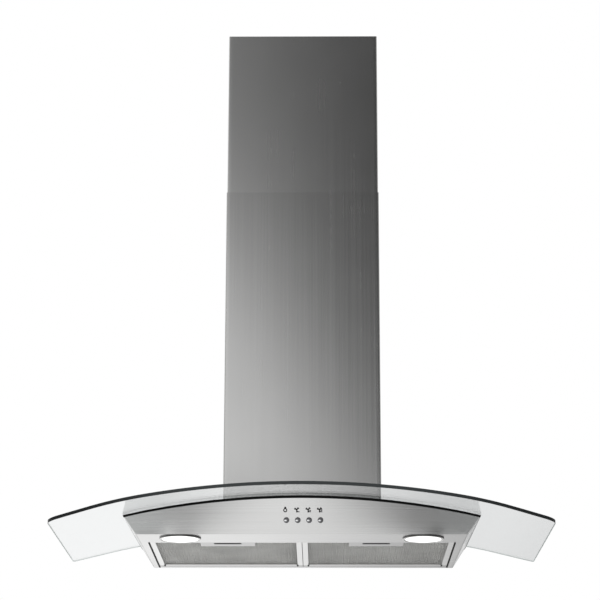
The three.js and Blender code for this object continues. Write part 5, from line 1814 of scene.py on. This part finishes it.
@dataclass
class Studio:
    """Floor, world, reflection card, lamps and camera, in metres.

    Names that start with world_ and floor_ and end with _fall are how much dimmer metal sees that
    part towards the right; front and behind are as the camera stands.
    """

    floor_height: float = -0.9
    focal_pixels: float = 2161.4
    frame_pixels: float = 600.0
    place: tuple[float, float, float] = (0.0365, -4.2, -0.712)
    tilt: float = 16.291
    pan: float = -0.600
    roll: float = 0.117
    world_fall: float = 0.25
    world_front: float = 0.53
    world_front_fall: float = 0.24
    floor_peak: float = 0.95
    floor_peak_x: float = -0.09
    floor_spread: float = 0.58
    floor_spread_fall: float = 0.14
    floor_rest: float = 0.36
    floor_rest_fall: float = 0.13
    floor_behind_falls: tuple[float, float] = (0.474, 0.22)
    floor_half: float = 14.0
    floor_tone: Colour = (0.8, 0.8, 0.8)
    floor_glow: float = 0.24
    ambient_cut: float = 0.35
    card_half: float = 0.9
    card_front: float = -1.4
    card_top: float = 2.2
    card_fall: tuple[float, ...] = (1.672, -9.354, -5.606, 3.157, -5.657, 2.019)
    aim: tuple[float, float, float] = (0.0, -0.2, 0.3)

    def build_camera(self) -> None:
        """The camera at the photograph's place, found by fitting the glass, body and chimney."""
        data = bpy.data.cameras.new("camera")
        data.sensor_width = 36.0
        data.lens = self.focal_pixels / self.frame_pixels * data.sensor_width
        data.clip_end = 60.0
        camera = bpy.data.objects.new("camera", data)
        bpy.context.scene.collection.objects.link(camera)
        tilt, pan, roll = (math.radians(v) for v in (self.tilt, self.pan, self.roll))
        flat = math.cos(tilt)
        ahead = np.array([math.sin(pan) * flat, math.cos(pan) * flat, math.sin(tilt)])
        level = np.array([math.cos(pan), -math.sin(pan), 0.0])
        upright = np.cross(level, ahead)
        right = level * math.cos(roll) + upright * math.sin(roll)
        top = upright * math.cos(roll) - level * math.sin(roll)
        turn = Matrix(np.column_stack([right, top, -ahead]).tolist()).to_4x4()
        camera.matrix_world = Matrix.Translation(Vector(self.place)) @ turn
        bpy.context.scene.camera = camera

    def build_world(self) -> None:
        """White for the camera and through glass; metal sees it dimmer in front and at right."""
        world = bpy.data.worlds.new("studio")
        bpy.context.scene.world = world
        graph = Graph(world)
        way = graph.out("ShaderNodeTexCoord", output="Generated")
        x, y, _ = graph.parts(way)
        ahead = (y * -1.0).step(-0.2, 0.3)
        around = 1.0 - x.step(-0.9, 0.9) * self.world_fall
        before = self.world_front - x.step(-0.35, 0.35) * self.world_front_fall
        mirror = around * (1.0 - ahead) + before * ahead
        seen = 1.0 - graph.ray("Is Glossy Ray") * (1.0 - mirror)
        level = seen - graph.ray("Is Diffuse Ray") * self.ambient_cut
        graph.finish(graph.out("ShaderNodeBackground", {"Color": WHITE, "Strength": level}))

    def plane(
        self, name: str, corners: Sequence[Sequence[float]], finish: bpy.types.Material
    ) -> bpy.types.Object:
        """A staged flat sheet.

        Args:
            name: its name.
            corners: its four corners in order, in metres.
            finish: its material.

        Returns:
            The sheet.
        """
        mesh = bpy.data.meshes.new(name)
        mesh.from_pydata([tuple(c) for c in corners], [], [(0, 1, 2, 3)])
        mesh.materials.append(finish)
        sheet = bpy.data.objects.new(name, mesh)
        bpy.context.scene.collection.objects.link(sheet)
        return sheet

    def build_floor(self) -> None:
        """Pale floor that takes the hood's shadow; metal sees it brightest near the middle.

        What metal sees in front is rest + (peak - rest) / (1 + aside squared).
        """
        made, graph = new_material("studio_floor")
        x, y, _ = graph.parts(graph.place())
        ahead = (y * -1.0).step(-0.2, 0.7)
        right = x.step(-0.15, 0.15)
        aside = (x - self.floor_peak_x) / (self.floor_spread - right * self.floor_spread_fall)
        rest = self.floor_rest - right * self.floor_rest_fall
        front = rest + (self.floor_peak - rest) / (aside * aside + 1.0)
        near_fall, far_fall = self.floor_behind_falls
        behind = 1.0 - x.step(-0.35, 0.75) * near_fall - x.step(0.75, 1.15) * far_fall
        mirror = behind * (1.0 - ahead) + front * ahead
        matt = graph.out("ShaderNodeBsdfDiffuse", {0: self.floor_tone})
        seen = graph.out("ShaderNodeAddShader", {0: graph.glow(self.floor_glow), 1: matt})
        graph.finish(graph.mix_shader(graph.ray("Is Glossy Ray"), seen, graph.glow(mirror)))
        half, level = self.floor_half, self.floor_height
        turns = ((-1, -1), (1, -1), (1, 1), (-1, 1))
        corners = [(half * across, half * along, level) for across, along in turns]
        self.plane("studio_floor", corners, made)

    def build_card(self) -> None:
        """Reflection card before the chimney, which metal alone sees: brightest low at the left.

        Its level is e to the power of a quadratic in x and height, and it fades out at its edges.
        """
        made, graph = new_material("studio_card")
        x, _, z = graph.parts(graph.place())
        level, across, up, twist, bow, ease = self.card_fall
        power = level + x * across + z * up + x * z * twist + x * x * bow + z * z * ease
        shine = graph.math("EXPONENT", power).least(0.98)
        fade = (x * x).step(0.22, 0.64)
        low = 1.0 - z.step(0.14, 0.32)
        high = z.step(1.7, 2.2)
        edge = 1.0 - fade.most(low).most(high)
        graph.finish(graph.mix_shader(edge, graph.transparent(), graph.glow(shine)))
        half, front, top = self.card_half, self.card_front, self.card_top
        corners = [(-half, front, 0.0), (half, front, 0.0), (half, front, top), (-half, front, top)]
        card = self.plane("studio_card", corners, made)
        for ray in ("camera", "diffuse", "transmission", "volume_scatter", "shadow"):
            setattr(card, f"visible_{ray}", False)

    def build_lamps(self) -> None:
        """A large soft lamp above the left rear and a weaker one at the right rear."""
        plans = (
            ("key_lamp", (-1.8, 1.4, 3.0), 2.4, 55.0),
            ("fill_lamp", (2.4, 1.8, 1.8), 2.0, 22.0),
        )
        for name, place, size, power in plans:
            data = bpy.data.lights.new(name, "AREA")
            data.shape = "SQUARE"
            data.size = size
            data.energy = power
            lamp = bpy.data.objects.new(name, data)
            bpy.context.scene.collection.objects.link(lamp)
            lamp.location = place
            way = Vector(self.aim) - Vector(place)
            lamp.rotation_euler = way.to_track_quat("-Z", "Y").to_euler()
            lamp.visible_camera = False
            lamp.visible_glossy = False

    def build(self) -> None:
        """Builds the studio."""
        bpy.context.scene.view_settings.view_transform = "Standard"
        self.build_camera()
        self.build_world()
        self.build_floor()
        self.build_card()
        self.build_lamps()


def main() -> None:
    """Builds the hood and the studio."""
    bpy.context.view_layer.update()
    Studio().build()
    paint = Paintbox()
    Canopy(paint).build()
    body = Body(paint)
    controls = Controls(paint, body)
    body.build(controls.places(), controls.radius + controls.clearance)
    controls.build()
    Lamps(paint).build()
    Filters(paint).build()
    Chimney(paint).build()
    Blower(paint).build()


if __name__ == "__main__":
    main()
